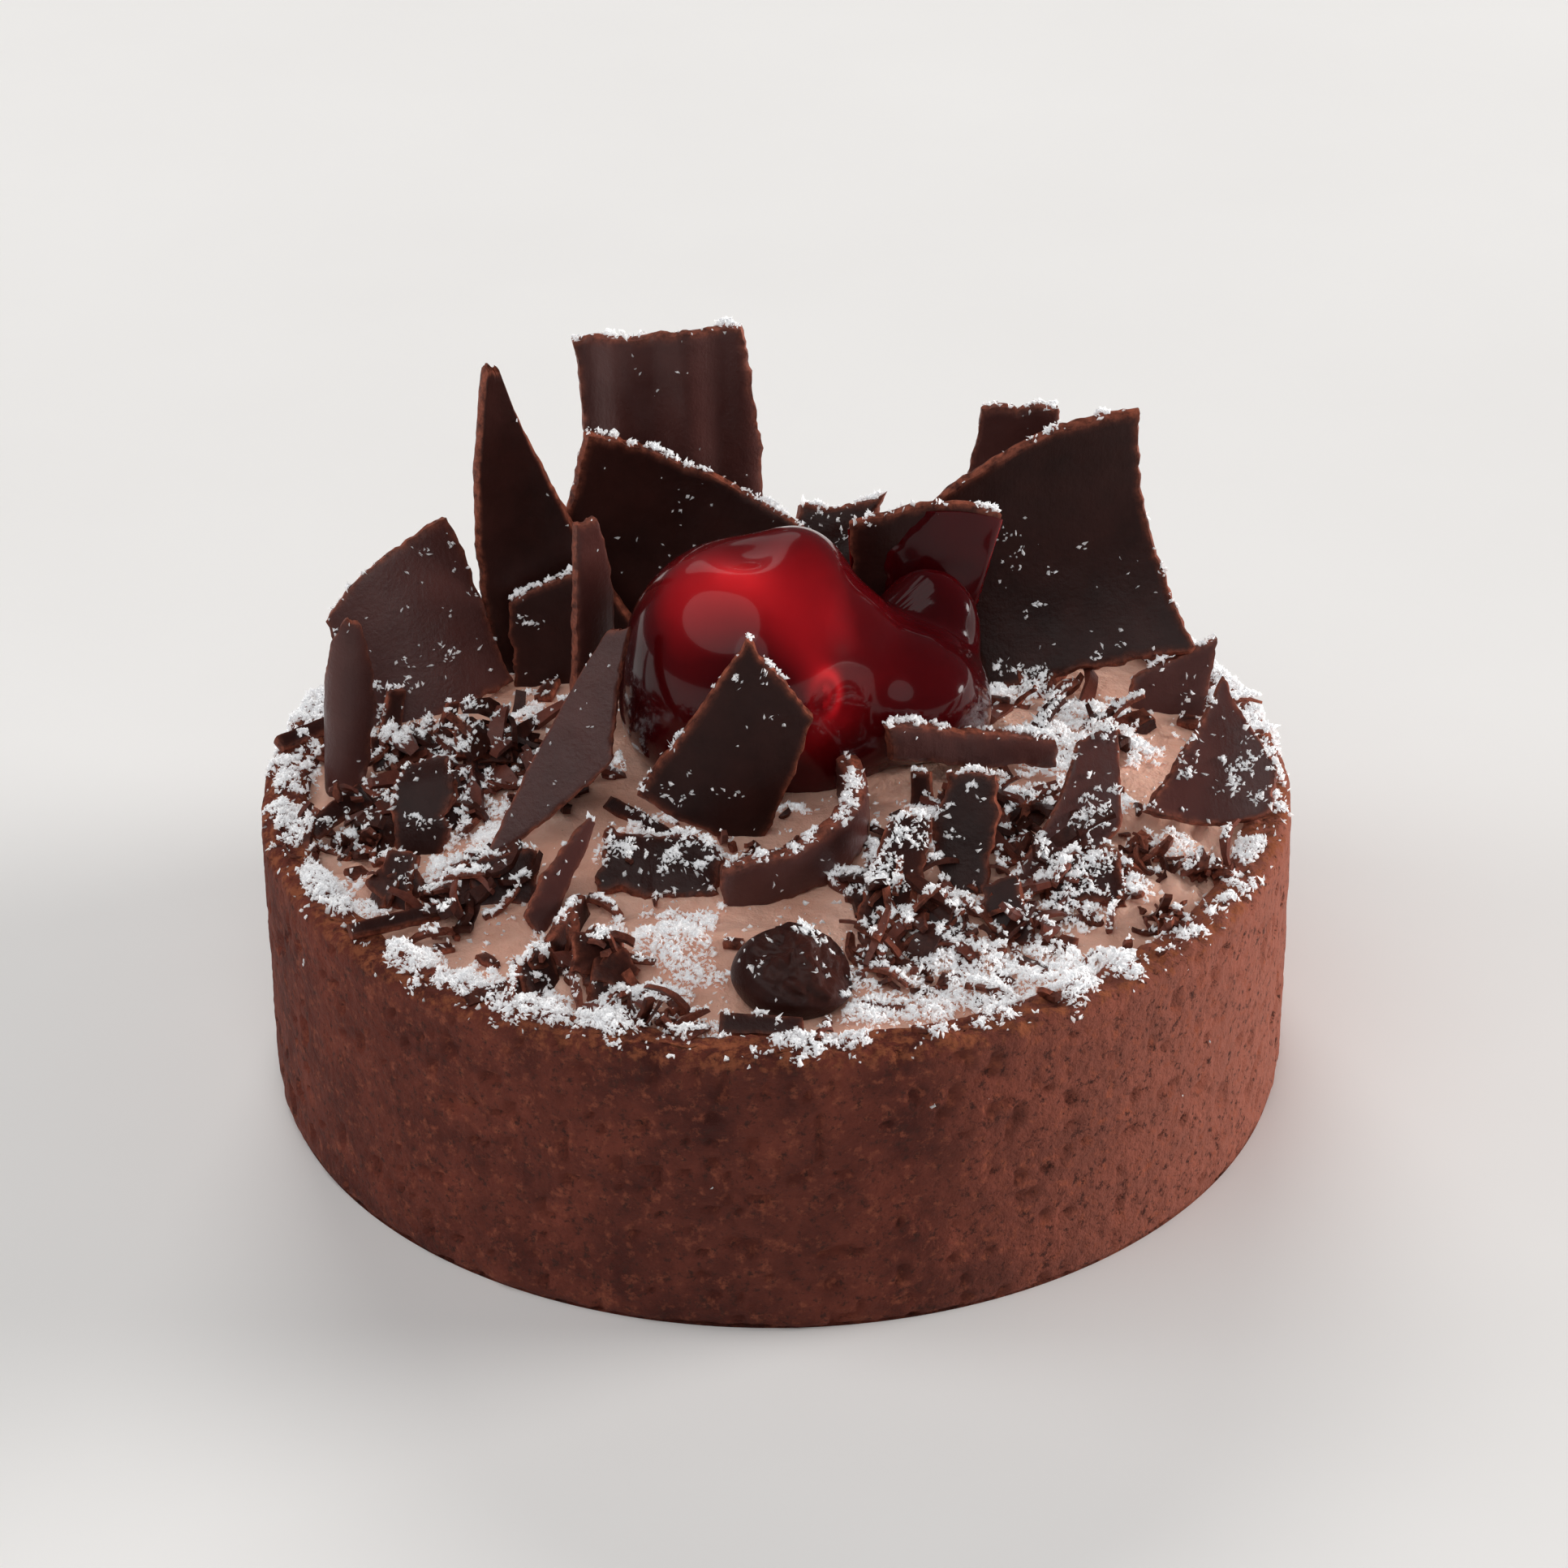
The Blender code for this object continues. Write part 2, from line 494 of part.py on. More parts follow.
def drop(parts, ground):
    """The round drop of chocolate, broken off flat at its right."""
    body = add_ball("drop_front", 10, 16, parts, "chocolate")
    broken = bmesh.new()
    broken.from_mesh(body.data)
    for vertex in broken.verts:
        vertex.co = Vector(c * h * MM for c, h in zip(vertex.co, DROP["half"]))
    slope = Vector((1, 0, 0.75)).normalized()
    edge = bmesh.ops.bisect_plane(
        broken, geom=broken.verts[:] + broken.edges[:] + broken.faces[:],
        plane_co=slope * DROP["broken_at"] * MM, plane_no=slope, clear_outer=True)
    rim = [e for e in edge["geom_cut"] if isinstance(e, bmesh.types.BMEdge)]
    bmesh.ops.contextual_create(broken, geom=rim)
    broken.to_mesh(body.data)
    broken.free()
    x, y = (v * MM for v in DROP["at"])
    body.location = (x, y, cream_height(x, y) + DROP["lift"] * MM)
    body.rotation_euler = (math.radians(DROP["tip"]), 0, 0)
    cut(body, ground)


def flake_mesh(length, width, draw):
    """A thin chip of chocolate with uneven corners."""
    chip = bmesh.new()
    bmesh.ops.create_cube(chip, size=1)
    size = Vector((length * MM, width * MM, FLAKE_THICK))
    for vertex in chip.verts:
        vertex.co = Vector(c * s * draw.uniform(0.8, 1.1) for c, s in zip(vertex.co, size))
    mesh = bpy.data.meshes.new("flake")
    chip.to_mesh(mesh)
    chip.free()
    return mesh


def flake_places(draw):
    """Where the flakes lie: the ones seen from the front, and then random ones behind."""
    yield from FLAKES
    for _ in range(FLAKE_TRIES):
        radius, angle = FLAKE_REACH * math.sqrt(draw.random()), draw.uniform(0, math.pi)
        x, y = radius * math.cos(angle), radius * math.sin(angle)
        if y > FLAKE_FRONT:
            yield x, y, draw.uniform(0, 180), draw.uniform(*FLAKE_LENGTH), draw.uniform(*FLAKE_WIDTH)


def surface_tree(obj):
    """The finished surface of an object, for measuring distances to."""
    mesh = baked(obj)
    mesh.transform(obj.evaluated_get(bpy.context.evaluated_depsgraph_get()).matrix_world)
    return BVHTree.FromPolygons([v.co for v in mesh.vertices], [p.vertices for p in mesh.polygons])


def strew_flakes(cream, toppings):
    """Fuses small flakes to the cream, clear of every topping."""
    near = [surface_tree(obj) for obj in toppings]
    draw = random.Random(FLAKE_SEED)
    heap = bpy.data.collections.new("flakes")
    bpy.context.scene.collection.children.link(heap)
    placed = []
    for x, y, heading, length, width in flake_places(draw):
        if len(placed) == len(FLAKES) + SPARE_FLAKES:
            break
        foot = Vector((x * MM, y * MM, 0))
        foot.z = cream_height(foot.x, foot.y) + 0.15 * FLAKE_THICK
        tip = Matrix.Rotation(draw.uniform(-0.3, 0.3), 4, "X")
        mesh = flake_mesh(length, width, draw)
        mesh.transform(Matrix.Translation(foot) @ Matrix.Rotation(math.radians(heading), 4, "Z") @ tip)
        points = [v.co for v in mesh.vertices] + [foot]
        crowded = any((foot - other).length < size + length * MM / 2 for other, size in placed)
        if crowded or any(tree.find_nearest(p, FLAKE_CLEAR)[0] for tree in near for p in points):
            continue
        sides = BVHTree.FromPolygons(points[:-1], [f.vertices for f in mesh.polygons])
        if any(tree.overlap(sides) for tree in near):
            continue
        add_object("flake", mesh, heap, "chocolate")
        placed.append((foot, length * MM / 2))
    join = cream.modifiers.new("flakes", "BOOLEAN")
    join.operation = "UNION"
    join.solver = "EXACT"
    join.operand_type = "COLLECTION"
    join.collection = heap
    fused = baked(cream)
    cream.modifiers.clear()
    cream.data = fused
    for chip in list(heap.objects):
        bpy.data.objects.remove(chip)
    bpy.data.collections.remove(heap)


def build():
    """Builds the tart from nothing."""
    for obj in list(bpy.data.objects):
        bpy.data.objects.remove(obj)
    parts = bpy.data.collections.new("chocolate_cherry_tart")
    cutters = bpy.data.collections.new("cutters")
    for collection in (parts, cutters):
        bpy.context.scene.collection.children.link(collection)
    shell(parts)
    cream_floor = FLOOR + GAP
    cream_radius = INNER_RADIUS - GAP
    cream = cream_body("cream", cream_radius, cream_floor, cream_height, 0, parts)
    ground_radius = TART_RADIUS + 3 * MM
    ground = cream_body("ground_clearance", ground_radius, cream_floor, ground_height, GAP, cutters)
    cherry(parts, cutters, ground)
    drop(parts, ground)
    for name, plate in SHARDS.items():
        cut(plate_solid(name, plate, parts), ground)
    for cutter in cutters.objects:
        cutter.hide_render = True
        cutter.display_type = "WIRE"
    bpy.context.view_layer.update()
    strew_flakes(cream, [o for o in parts.objects if o.name not in ("crust", "cream")])
    for obj in parts.objects:
        obj.data.shade_smooth()
        obj.data.set_sharp_from_angle(angle=math.radians(40))


build()
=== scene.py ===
"""The looks of a small black forest tart: a glazed cherry, shards of chocolate and a fall of coarse sugar."""
import itertools
import math
import random

import bmesh
import bpy
import numpy as np
from mathutils import Matrix, Vector, noise
from mathutils.bvhtree import BVHTree


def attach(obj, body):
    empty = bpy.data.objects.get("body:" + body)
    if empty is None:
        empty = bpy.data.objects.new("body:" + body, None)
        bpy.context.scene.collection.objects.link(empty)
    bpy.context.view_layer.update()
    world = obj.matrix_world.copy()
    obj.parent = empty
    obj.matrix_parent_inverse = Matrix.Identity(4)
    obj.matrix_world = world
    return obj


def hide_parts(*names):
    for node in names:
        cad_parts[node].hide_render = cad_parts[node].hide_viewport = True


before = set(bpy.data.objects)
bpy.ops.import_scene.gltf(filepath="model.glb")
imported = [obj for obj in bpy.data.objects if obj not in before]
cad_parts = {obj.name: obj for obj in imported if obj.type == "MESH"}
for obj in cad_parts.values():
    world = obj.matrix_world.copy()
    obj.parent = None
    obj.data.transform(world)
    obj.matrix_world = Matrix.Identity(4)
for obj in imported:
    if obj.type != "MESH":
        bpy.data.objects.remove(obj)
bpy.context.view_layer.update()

# Lengths here are in mm, and become metres where a mesh is made
MM = 0.001

# The shell and the cream
TART_RADIUS = 35.0
TART_HEIGHT = 20.6
INNER_RADIUS = 31.7
FLOOR = 3.0
RIM_ROUND = 0.9
RIM_INNER_ROUND = 0.6
BASE_ROUND = 0.5
INNER_ROUND = 1.6
RIM_CRAGS = 0.3
RIM_GRAIN = 0.26
RIM_NOTCHES = 0.35
WALL_DENTS = 0.12
WALL_GRAIN = 0.085
PIT_DEPTH = 0.36
FOOT_WEAR = 0.28
FOOT_REACH = 0.8
CRUST_COLUMNS = 600
WALL_ROWS = 56
CREAM_EDGE = 19.6
CREAM_RISE = 3.4
CREAM_WAVES = 0.22
CREAM_WAVE_LENGTH = 7.0
SPOON_MARKS = 0.40
CREAM_GRAIN = 0.08
CREAM_RINGS = 96
CREAM_COLUMNS = 380
CREAM_FOLDS = (
    dict(at=(-6, -22.5), heading=4, length=9, width=1.6, height=0.7),
    dict(at=(8, -19.5), heading=20, length=7, width=1.8, height=0.5),
    dict(at=(-21, -15), heading=-50, length=6, width=2.0, height=0.6),
    dict(at=(25, -12), heading=60, length=5, width=2.4, height=0.7),
    dict(at=(-17, 3), heading=75, length=6, width=3.0, height=0.6),
    dict(at=(12, 22), heading=-25, length=8, width=2.2, height=0.6),
    dict(at=(-12, 25), heading=25, length=7, width=2.0, height=0.6),
)
# Where the cream is torn open and full of holes
CREAM_TEARS = (
    dict(at=(26.5, -11), reach=5.0, depth=1.5),
    dict(at=(-27.5, -9), reach=3.5, depth=0.9),
    dict(at=(14.5, 16), reach=3.5, depth=0.7),
    dict(at=(15, -27), reach=3.0, depth=0.6),
)

# The glazed cherry
CHERRY_LOBES = (
    dict(centre=(-1.9, 0, 29.7), half=(8.2, 8.3, 8.3)),
    dict(centre=(1.3, 1.5, 34.4), half=(3.6, 4.2, 3.9)),
    dict(centre=(-4.6, 0.2, 26), half=(5.6, 6, 5)),
    dict(centre=(2, -1, 24.5), half=(5.5, 5, 4.5)),
    dict(centre=(4.4, 0.6, 30), half=(4, 4.4, 4.4)),
    dict(centre=(8.6, 0.2, 26.8), half=(5, 4.6, 4.6)),
    dict(centre=(10.4, 5.4, 29), half=(3.5, 2.3, 4.4)),
    dict(centre=(11.4, 2.6, 24.4), half=(3.2, 3.6, 4)),
)
CHERRY_HUB = (2.5, 0.8, 27.5)
CHERRY_REACH = 16
CHERRY_BLEND = 0.8
CHERRY_DETAIL = 7
CHERRY_HALVINGS = 24
CHERRY_DIMPLE = dict(at=(-1.6, 0.6, 38.6), depth=1.5, spread=2.6)

# Painted light in the cherry, where light would shine through it: bright places with their reach and
# strength, a streak and a round pit
CHERRY_PAINTED_LIGHTS = (
    ((-1.2, -2.6, 37.2), (4.6, 4.5, 3.4), 0.52), ((1.6, -5.6, 34.4), (3.4, 3, 3.0), 0.13),
    ((-5.2, -3.2, 36.0), (3.4, 3.6, 3.6), 0.36), ((3.2, -6.3, 27.0), (3.4, 3, 2.6), 0.20),
    ((4.4, -3.6, 34.8), (2.0, 2.5, 2.6), 0.18), ((8.5, -3.8, 29.5), (3.5, 3, 3), 0.20),
)
CHERRY_PAINTED_STREAK = dict(ends=((-2.6, -2.6, 37.4), (3.2, -6.4, 31.6)), width=1.3, strength=0.25)
CHERRY_PIT_PAINTED_LIGHT = dict(at=(3.3, -6.4, 30.4), half=(1.1, 1.5, 1.6), strength=0.42)

DROP = dict(at=(1.1, -26.6), half=(4.0, 3.3, 2.6), lift=1.4, tip=18, broken_at=2.3)


def plate(x, y, turn, lean, thick, *corners, **more):
    """A plate of chocolate: its place on the cream, turn and lean in degrees, thickness and corners."""
    return dict(at=(x, y), turn=turn, lean=lean, thick=thick, corners=corners, **more)


# Chocolate shards: see plate_flat, plate_bent and plate_frame
SHARDS = dict(
    shard_back_tall=plate(-7, 21.5, 0, 5, 1.1, (-4.5, -1.5), (5.5, -1.5), (5, 22), (-7, 21),
        curl=(90, 16), ripple=(0.3, 4.4), bow=(0, 0.9, 0.2, 0)),
    shard_back_low=plate(-5, 16.5, -5, 12, 1.1, (-10, -1.5), (5, -1.5), (7, 9), (-8.2, 16),
        curl=(60, -22), bow=(0, 0, 0.4, 0.8)),
    shard_spike=plate(-14.5, 15.5, 8, 5, 1.1, (-5, -1.5), (8.2, -1.5), (-4.2, 22.6), (-5.1, 22.6),
        curl=(80, -14), bow=(0, -1.2, 0, 1)),
    shard_left_inner=plate(-14.8, 12.2, -10, 10, 1.0, (-3.2, -1.5), (2, -1.5), (1.8, 8.4), (-3.7, 5.3)),
    shard_left_wide=plate(-24.5, 9.4, 12, 28, 1.0, (-3.5, -1.5), (6.6, 1.6), (3.4, 13.4), (-5.9, 7.2),
        curl=(105, 14), bow=(0, 0, 0.8, -0.3)),
    shard_left_fold=plate(-30.3, 0.3, -25, 8, 0.9, (-1.1, -1), (1.8, -1), (1.9, 12.5), (0.9, 12.5),
        curl=(92, 1.6), bow=(0, 1.2, 0, 0.9)),
    shard_twist=plate(-12, 5, 50, 0, 0.9, (-2.8, -1.5), (2, -1.5), (0.3, 15.4), (-1.2, 15.2),
        curl=(75, 6), bow=(0, 0.6, 0, 0)),
    shard_blade_left=plate(-18.6, -12.3, -10, 36, 1.0, (-0.6, 0.2), (7.2, 7.8), (7.6, 16.4), (6.2, 16.2),
        curl=(60, 20), bow=(0.3, -0.2, 0, 0.3)),
    shard_front=plate(-3.5, -11, 5, 8, 1.0, (-5.4, 3.2), (2.2, -1.5), (6.1, 8.1), (2, 13.5),
        curl=(60, 25)),
    shard_glazed=plate(11, 7.4, 5, 5, 1.0, (-5, -1), (0.5, -1), (4.9, 13.1), (-5.8, 13.2), curl=(90, 14),
        bow=(0, -0.2, 1.4, 0)),
    shard_right_big=plate(20.7, 12, 0, 18, 1.1, (-6, -0.5), (8.6, 2.5), (4.4, 19.8), (-10, 12.8),
        curl=(20, -20), bow=(-0.3, -1.2, 1.5, 0)),
    shard_right_back=plate(17, 20, -5, 5, 1.0, (-5.5, -1.5), (4.5, -1.5), (2.7, 17.1), (-2.4, 17),
        curl=(90, 15)),
    shard_right_small=plate(26.8, 9.8, 10, 20, 1.0, (-2, -0.8), (3, -0.8), (4, 4.3), (-2, 2.3)),
    shard_right_low=plate(28.2, -7.8, 10, 45, 1.0, (-4, 1.2), (4.6, 0.2), (5.6, 3.3), (3, 9.9), lift=0.9,
        curl=(80, -14), bow=(0.8, 0, -0.1, -0.3)),
    shard_right_front=plate(17.6, -14, 15, 48, 1.0, (-2.6, -0.2), (5.7, 2.4), (6.9, 9.5), (4.2, 8.6),
        curl=(60, -16), bow=(0.9, 0, 0, -0.5)),
    shard_front_right=plate(12.3, -16.1, -10, 35, 0.9, (-1.2, -1), (1.2, -1), (1.5, 7.1), (-2, 6.8),
        bow=(0, 0.2, 0.2, 0.5), tear=1.6, rough=0.10),
    shard_dark_right=plate(6.4, -19.9, 20, 45, 1.0, (-1.7, -0.8), (0.8, -0.8), (5.1, 5.8), (2.6, 6.1),
        bow=(0, 0.8, 0, 0), tear=2.2, rough=0.12),
    shard_blade_front=plate(-15.5, -19.8, 35, 35, 0.8, (-0.3, 1.2), (0, -0.6), (6.5, 5.2), (6.2, 5.6),
        bow=(0, 0.2, 0, 0.5), tear=1.6, rough=0.08),
    shard_left_round=plate(-23.9, -10.3, -10, 40, 1.0, (-1, -0.5), (1.9, -0.3), (1.6, 6.9), (-1.6, 6.5),
        curl=(20, 5), bow=(0.5, 0, 0.3, 0.3), tear=2.4, rough=0.16),
    shard_left_dark=plate(-18.3, -16.4, 10, 45, 1.0, (-1.6, -0.4), (2.6, -0.6), (2.7, 3.4), (-0.6, 3),
        tear=2.2, rough=0.14),
    shard_right_end=plate(15, -20.4, -20, 45, 1.0, (-1.2, -0.4), (1.6, -0.4), (-0.4, 3.8), (-2.8, 2.8),
        tear=2.0, rough=0.12),
    shard_wedge=plate(10.4, -21.2, 0, 40, 1.2, (-1.6, -0.3), (1.9, -0.3), (1.7, 1.5), (-1.6, 2.3),
        tear=2.0, rough=0.14),
    curl_front=plate(3.56, -14.9, 53, 4, 1.7, (-7.6, -0.6), (8.6, 1.2), (8.6, 4.4), (-7.6, 2.5),
        curl=(90, 7.8)),
    stick_right=plate(13.2, -5, 17, 10, 1.6, (-5.8, 3.7), (5.8, 1), (5.8, 2.8), (-5.8, 5.9), tear=2.0,
        rough=0.22),
    block_middle=plate(-7.5, -16.6, -3, 60, 1.6, (-4, 0), (4, -0.3), (3.6, 3.6), (-3.8, 4.2), tear=2.2,
        rough=0.22),
    stick_middle=plate(-9, -8.8, -46, 60, 0.9, (-3.2, -0.3), (3.2, -0.3), (3.2, 0.6), (-3.2, 0.7),
        tear=2.0, rough=0.12),
    stick_front=plate(-0.8, -31.2, -3, 60, 0.8, (-2.9, -0.2), (2.4, -0.4), (2.3, 0.9), (-2.8, 1.2),
        lift=0.5),
    stick_left=plate(-24.3, -18.7, 25, 60, 0.9, (-3.4, -0.4), (3.4, -0.5), (3.4, 0.4), (-3.4, 0.5),
        lift=1.2),
    block_right=plate(19.6, -17, 10, 50, 1.8, (-2.2, 0.2), (3, -0.2), (3.4, 2.9), (-1.5, 2.9), tear=2.0,
        rough=0.2),
    splinter_front=plate(-13.6, -21.2, 65, 15, 0.9, (-1.9, -0.5), (3.2, 0), (3.2, 1.8), (-1.9, 1.2)),
    block_front=plate(-10.9, -26.1, 20, 45, 2.1, (-1.2, -0.2), (1.8, 0), (2.0, 3.8), (-0.4, 3.5)),
    chip_front=plate(-14.9, -25.4, 30, 40, 1.6, (-1.5, -0.4), (1.5, -0.4), (1.4, 2.6), (-1.2, 2.2)),
    shard_left_near=plate(-24.8, -15, -30, 40, 0.9, (-1.6, -0.3), (1, -0.3), (0.6, 3.7), (-1.9, 3.3),
        tear=2.0, rough=0.12),
    chip_left_a=plate(-26.7, 7.4, 30, 15, 0.8, (-0.8, -0.5), (0.6, -0.5), (1.7, 2.7), (0.6, 2.9)),
    chip_left_b=plate(-22.7, 5.1, 30, 20, 0.7, (-1, -0.4), (0.2, -0.5), (1.5, 2.2), (0.8, 2.4)),
    chip_left_c=plate(-26.6, 1.9, 0, 40, 0.8, (-0.7, -0.3), (0.8, -0.3), (0.4, 2.5), (-1, 2.2)),
    chip_left_d=plate(-19.5, -1.4, 20, 45, 1.2, (-1.2, -0.4), (1.5, -0.4), (2.4, 3.4), (-0.6, 3.4)),
    stick_rim=plate(-31.9, 5.9, 42, 60, 0.9, (-2.7, -0.4), (2.7, -0.4), (2.7, 0.6), (-2.7, 0.6),
        lift=1.6),
    curl_left=plate(-28.8, -5.3, 55, 50, 0.8, (-2.9, -0.5), (2.9, -0.5), (2.9, 1.1), (-2.9, 0.9),
        lift=1.4, curl=(90, 6)),
    stick_back=plate(3, 20, 0, 30, 1.6, (-0.8, -1), (2.6, -1), (4.9, 9.6), (-1.5, 8.1),
        bow=(0, 0, -0.4, 0), tear=2.4, rough=0.22),
    chip_cherry=plate(9.9, -7.3, -20, 15, 0.8, (-0.9, -0.6), (0.6, -0.6), (0.2, 2.5), (-1.1, 2.3)),
)

# The size of a plate's cells and how many it may have to a side
PLATE_CELL = 0.32
CHIP_CELL = 0.3
PLATE_CELLS = (5, 64)

# The shards whose faces shine: they get a paler copy of the chocolate, painted sheen, as well as more real
# shine
PAINTED_SHEEN_SHARDS = (
    "shard_left_wide", "shard_blade_left", "shard_back_tall", "shard_twist", "curl_front",
    "shard_left_fold", "shard_right_small", "shard_right_back", "shard_right_low", "shard_right_front",
    "stick_right", "shard_blade_front",
)

# Small flakes of chocolate on the cream: x, y, heading, length and width
FLAKES = (
    (-6.4, -28, 110, 1.9, 0.9), (5.2, -16.9, 80, 3, 1.3), (6.2, -20.9, 15, 2.6, 1.2),
    (6.5, -23.6, 80, 1.7, 0.9), (9.5, -22.9, 5, 3, 1.4), (16.3, -23.9, -45, 2.6, 1),
    (18.4, -21.3, 60, 2, 1.2), (16.9, -18.8, -20, 1.3, 0.9), (23.8, -11.5, 70, 1.6, 1),
    (-20.7, -13.3, 50, 2, 1.4), (-21.4, -20.8, 10, 1.3, 0.9), (-18.4, -22.6, -50, 1.8, 0.8),
    (-29.1, 1.3, 5, 3, 1.1), (-27.1, -2.3, 60, 1.7, 1.3), (-18.4, 1.6, 5, 2, 0.8),
    (-17.9, -2.4, 60, 1.9, 1.3), (16.4, 10.7, 10, 2.6, 1.3), (19.5, 10.1, -10, 2.6, 1.2),
    (24.9, 6.8, 30, 2, 1.6), (22, 5.9, 20, 1.7, 1), (28.6, 7.6, -30, 1.6, 1),
    (-27.6, -11.3, 30, 1.5, 0.9), (10.6, -25.9, 70, 1.6, 0.9), (-4.6, -17.9, 20, 1.8, 0.8),
    (-2.7, -23, -10, 1.3, 0.8), (14.4, -25.4, -60, 1.8, 0.9), (12.2, -23.6, 0, 1.6, 1),
    (-16.6, -24.2, -30, 1.4, 0.9), (23, -12.8, 10, 1.4, 0.9), (14.4, -17.4, 10, 1.6, 1),
)
SPARE_FLAKES = 16
FLAKE_TRIES = 400
FLAKE_LENGTH = (1.4, 3.2)
FLAKE_WIDTH = (0.8, 1.5)
FLAKE_THICK = 0.8
FLAKE_REACH = 28.5
FLAKE_FRONT = 6
FLAKE_CLEAR = 0.25
FLAKE_SEED = 7

# Pieces that broke into splinters, and how many show
SHATTERED = dict(block_front=7, chip_front=5, chip_left_d=5, block_right=6, shard_wedge=4, shard_left_near=3)

# Where crumbs of chocolate lie thick: x, y and reach
CRUMB_SPOTS = (
    (-24, 2, 4), (-19, -3, 4), (-24, 0, 4), (-18, -1, 4), (-22, -5, 3), (-27.5, -8, 3.5), (-27, 5, 3),
    (-13, -24, 3), (-21, -16, 3), (12, -22, 4.5), (14, -14, 3), (9, -20, 3), (17, -9, 3), (19, -18, 4.5),
    (20, 8, 5), (15, -8, 3.5), (8, -24, 3), (-8, -28, 3), (24, -12, 2.5), (4, 16, 6), (-10, 22, 6),
    (17, 24, 6), (-2, -12, 4), (28.3, -12, 1), (25, -18.6, 1.2), (-22, -1, 3), (-25, -4, 2.5),
)
CRUMBS = 780
CRUMB_SEED = 12
CRUMBS_IN_SPOTS = 0.86
CRUMBS_RED = 0.4
CRUMBS_SHORT = 0.55
CRUMB_LENGTHS = ((0.6, 1.5), (1.5, 3.8))
CRUMB_WIDTHS = (0.3, 0.6)
CRUMB_THICKNESS = (0.18, 0.36)
CRUMB_SHADES = (0.3, 0.6, 0.95)
CRUMB_SPREAD = 33.5
CRUMB_REACH = 34
SPOT_SPREAD = 0.6
# Crumbs stay where the ground is level enough (its normal's height) and no higher than this above the cream
CRUMB_LEVEL = 0.6
CRUMB_CLIMB = 2.5

# Where larger shavings lie: x, y and reach
SHAVING_SPOTS = (
    (-22, 1, 3), (-19, -3, 3), (-24, -3, 2.5), (-26.5, -7, 2), (-17, 3, 2.5), (-21, -17, 2.5),
    (-12, -23.5, 2), (10, -14, 2.5), (13, -12, 2.5), (9, -21, 2.5), (17, -17.5, 2.5), (21, -12, 2),
    (20, 7, 3), (14, -9, 2), (-13, -9, 2), (2, 15, 4), (-20, 20, 5), (20, 20, 4), (7.5, -12, 1.8),
    (11.5, -9.5, 1.8), (5, -18, 1.5), (-18, -13, 2), (-14, -5, 2), (-22, 0, 3), (-25, -2, 2.5),
    (-20, 3, 2.5), (22, 6, 3), (16, -7, 2),
)
SHAVINGS = 150
SHAVING_SIZES = ((2.6, 4.8), (0.9, 1.7), (0.35, 0.5))
SHAVING_REACH = 29
SHAVING_SHADE = 0.12

# How much sugar the pieces caught that have more or less of it than the rest
SUGARED = dict(
    shard_back_low=0.7, shard_front=0.42, shard_right_big=0.12, curl_front=0.42, stick_right=0.4,
    block_middle=0.6, shard_right_low=0.4, shard_left_round=0.75, block_right=0.95, shard_dark_right=0.95,
    shard_front_right=0.5, shard_right_front=0.55, shard_blade_left=0.2, shard_left_wide=0.12,
    shard_spike=0.08, shard_left_inner=0.7, shard_left_fold=0.15, shard_twist=0.3, shard_glazed=0.35,
    shard_right_back=0.4, shard_back_tall=0.3, stick_back=0.5, shard_right_small=0.6, block_front=0.3,
    chip_front=0.4, drop_front=0.3, splinter_front=0.3, shard_right_end=0.6, shard_wedge=0.6,
    shard_left_dark=0.6, stick_left=0.2, stick_front=0.15, stick_rim=0.1, crumbs_dark=0.66,
    crumbs_red=0.66,
)
SUGAR_USUAL = 0.42
SUGAR_TRIES = 250000
SUGAR_MOST = 24000
SUGAR_SEED = 5
SUGAR_SPECKS = 0.010
SUGAR_HEAP = 1.15
SUGAR_SIZE = 0.115
SUGAR_SIZES = (0.06, 0.25)
SUGAR_REACH = 35.1
SUGAR_SCATTER = 0.04
# Its depth between the drifts and on the rim, how much more the rim has behind and how much less at its edge
SUGAR_BETWEEN = 0.12
SUGAR_ON_RIM = 0.38
SUGAR_BEHIND = 0.3
SUGAR_OFF_EDGE = 0.55
# How much of it the faces and the torn edges of shards catch, how much slides off, and the most that stays
CAUGHT_BY_FACES = 0.62
CAUGHT_BY_EDGES = 1.25
SUGAR_SLIDES = 0.42
SUGAR_STAYS = 0.75

# Crumbs and sugar fall from this height
DROP_HEIGHT = 60

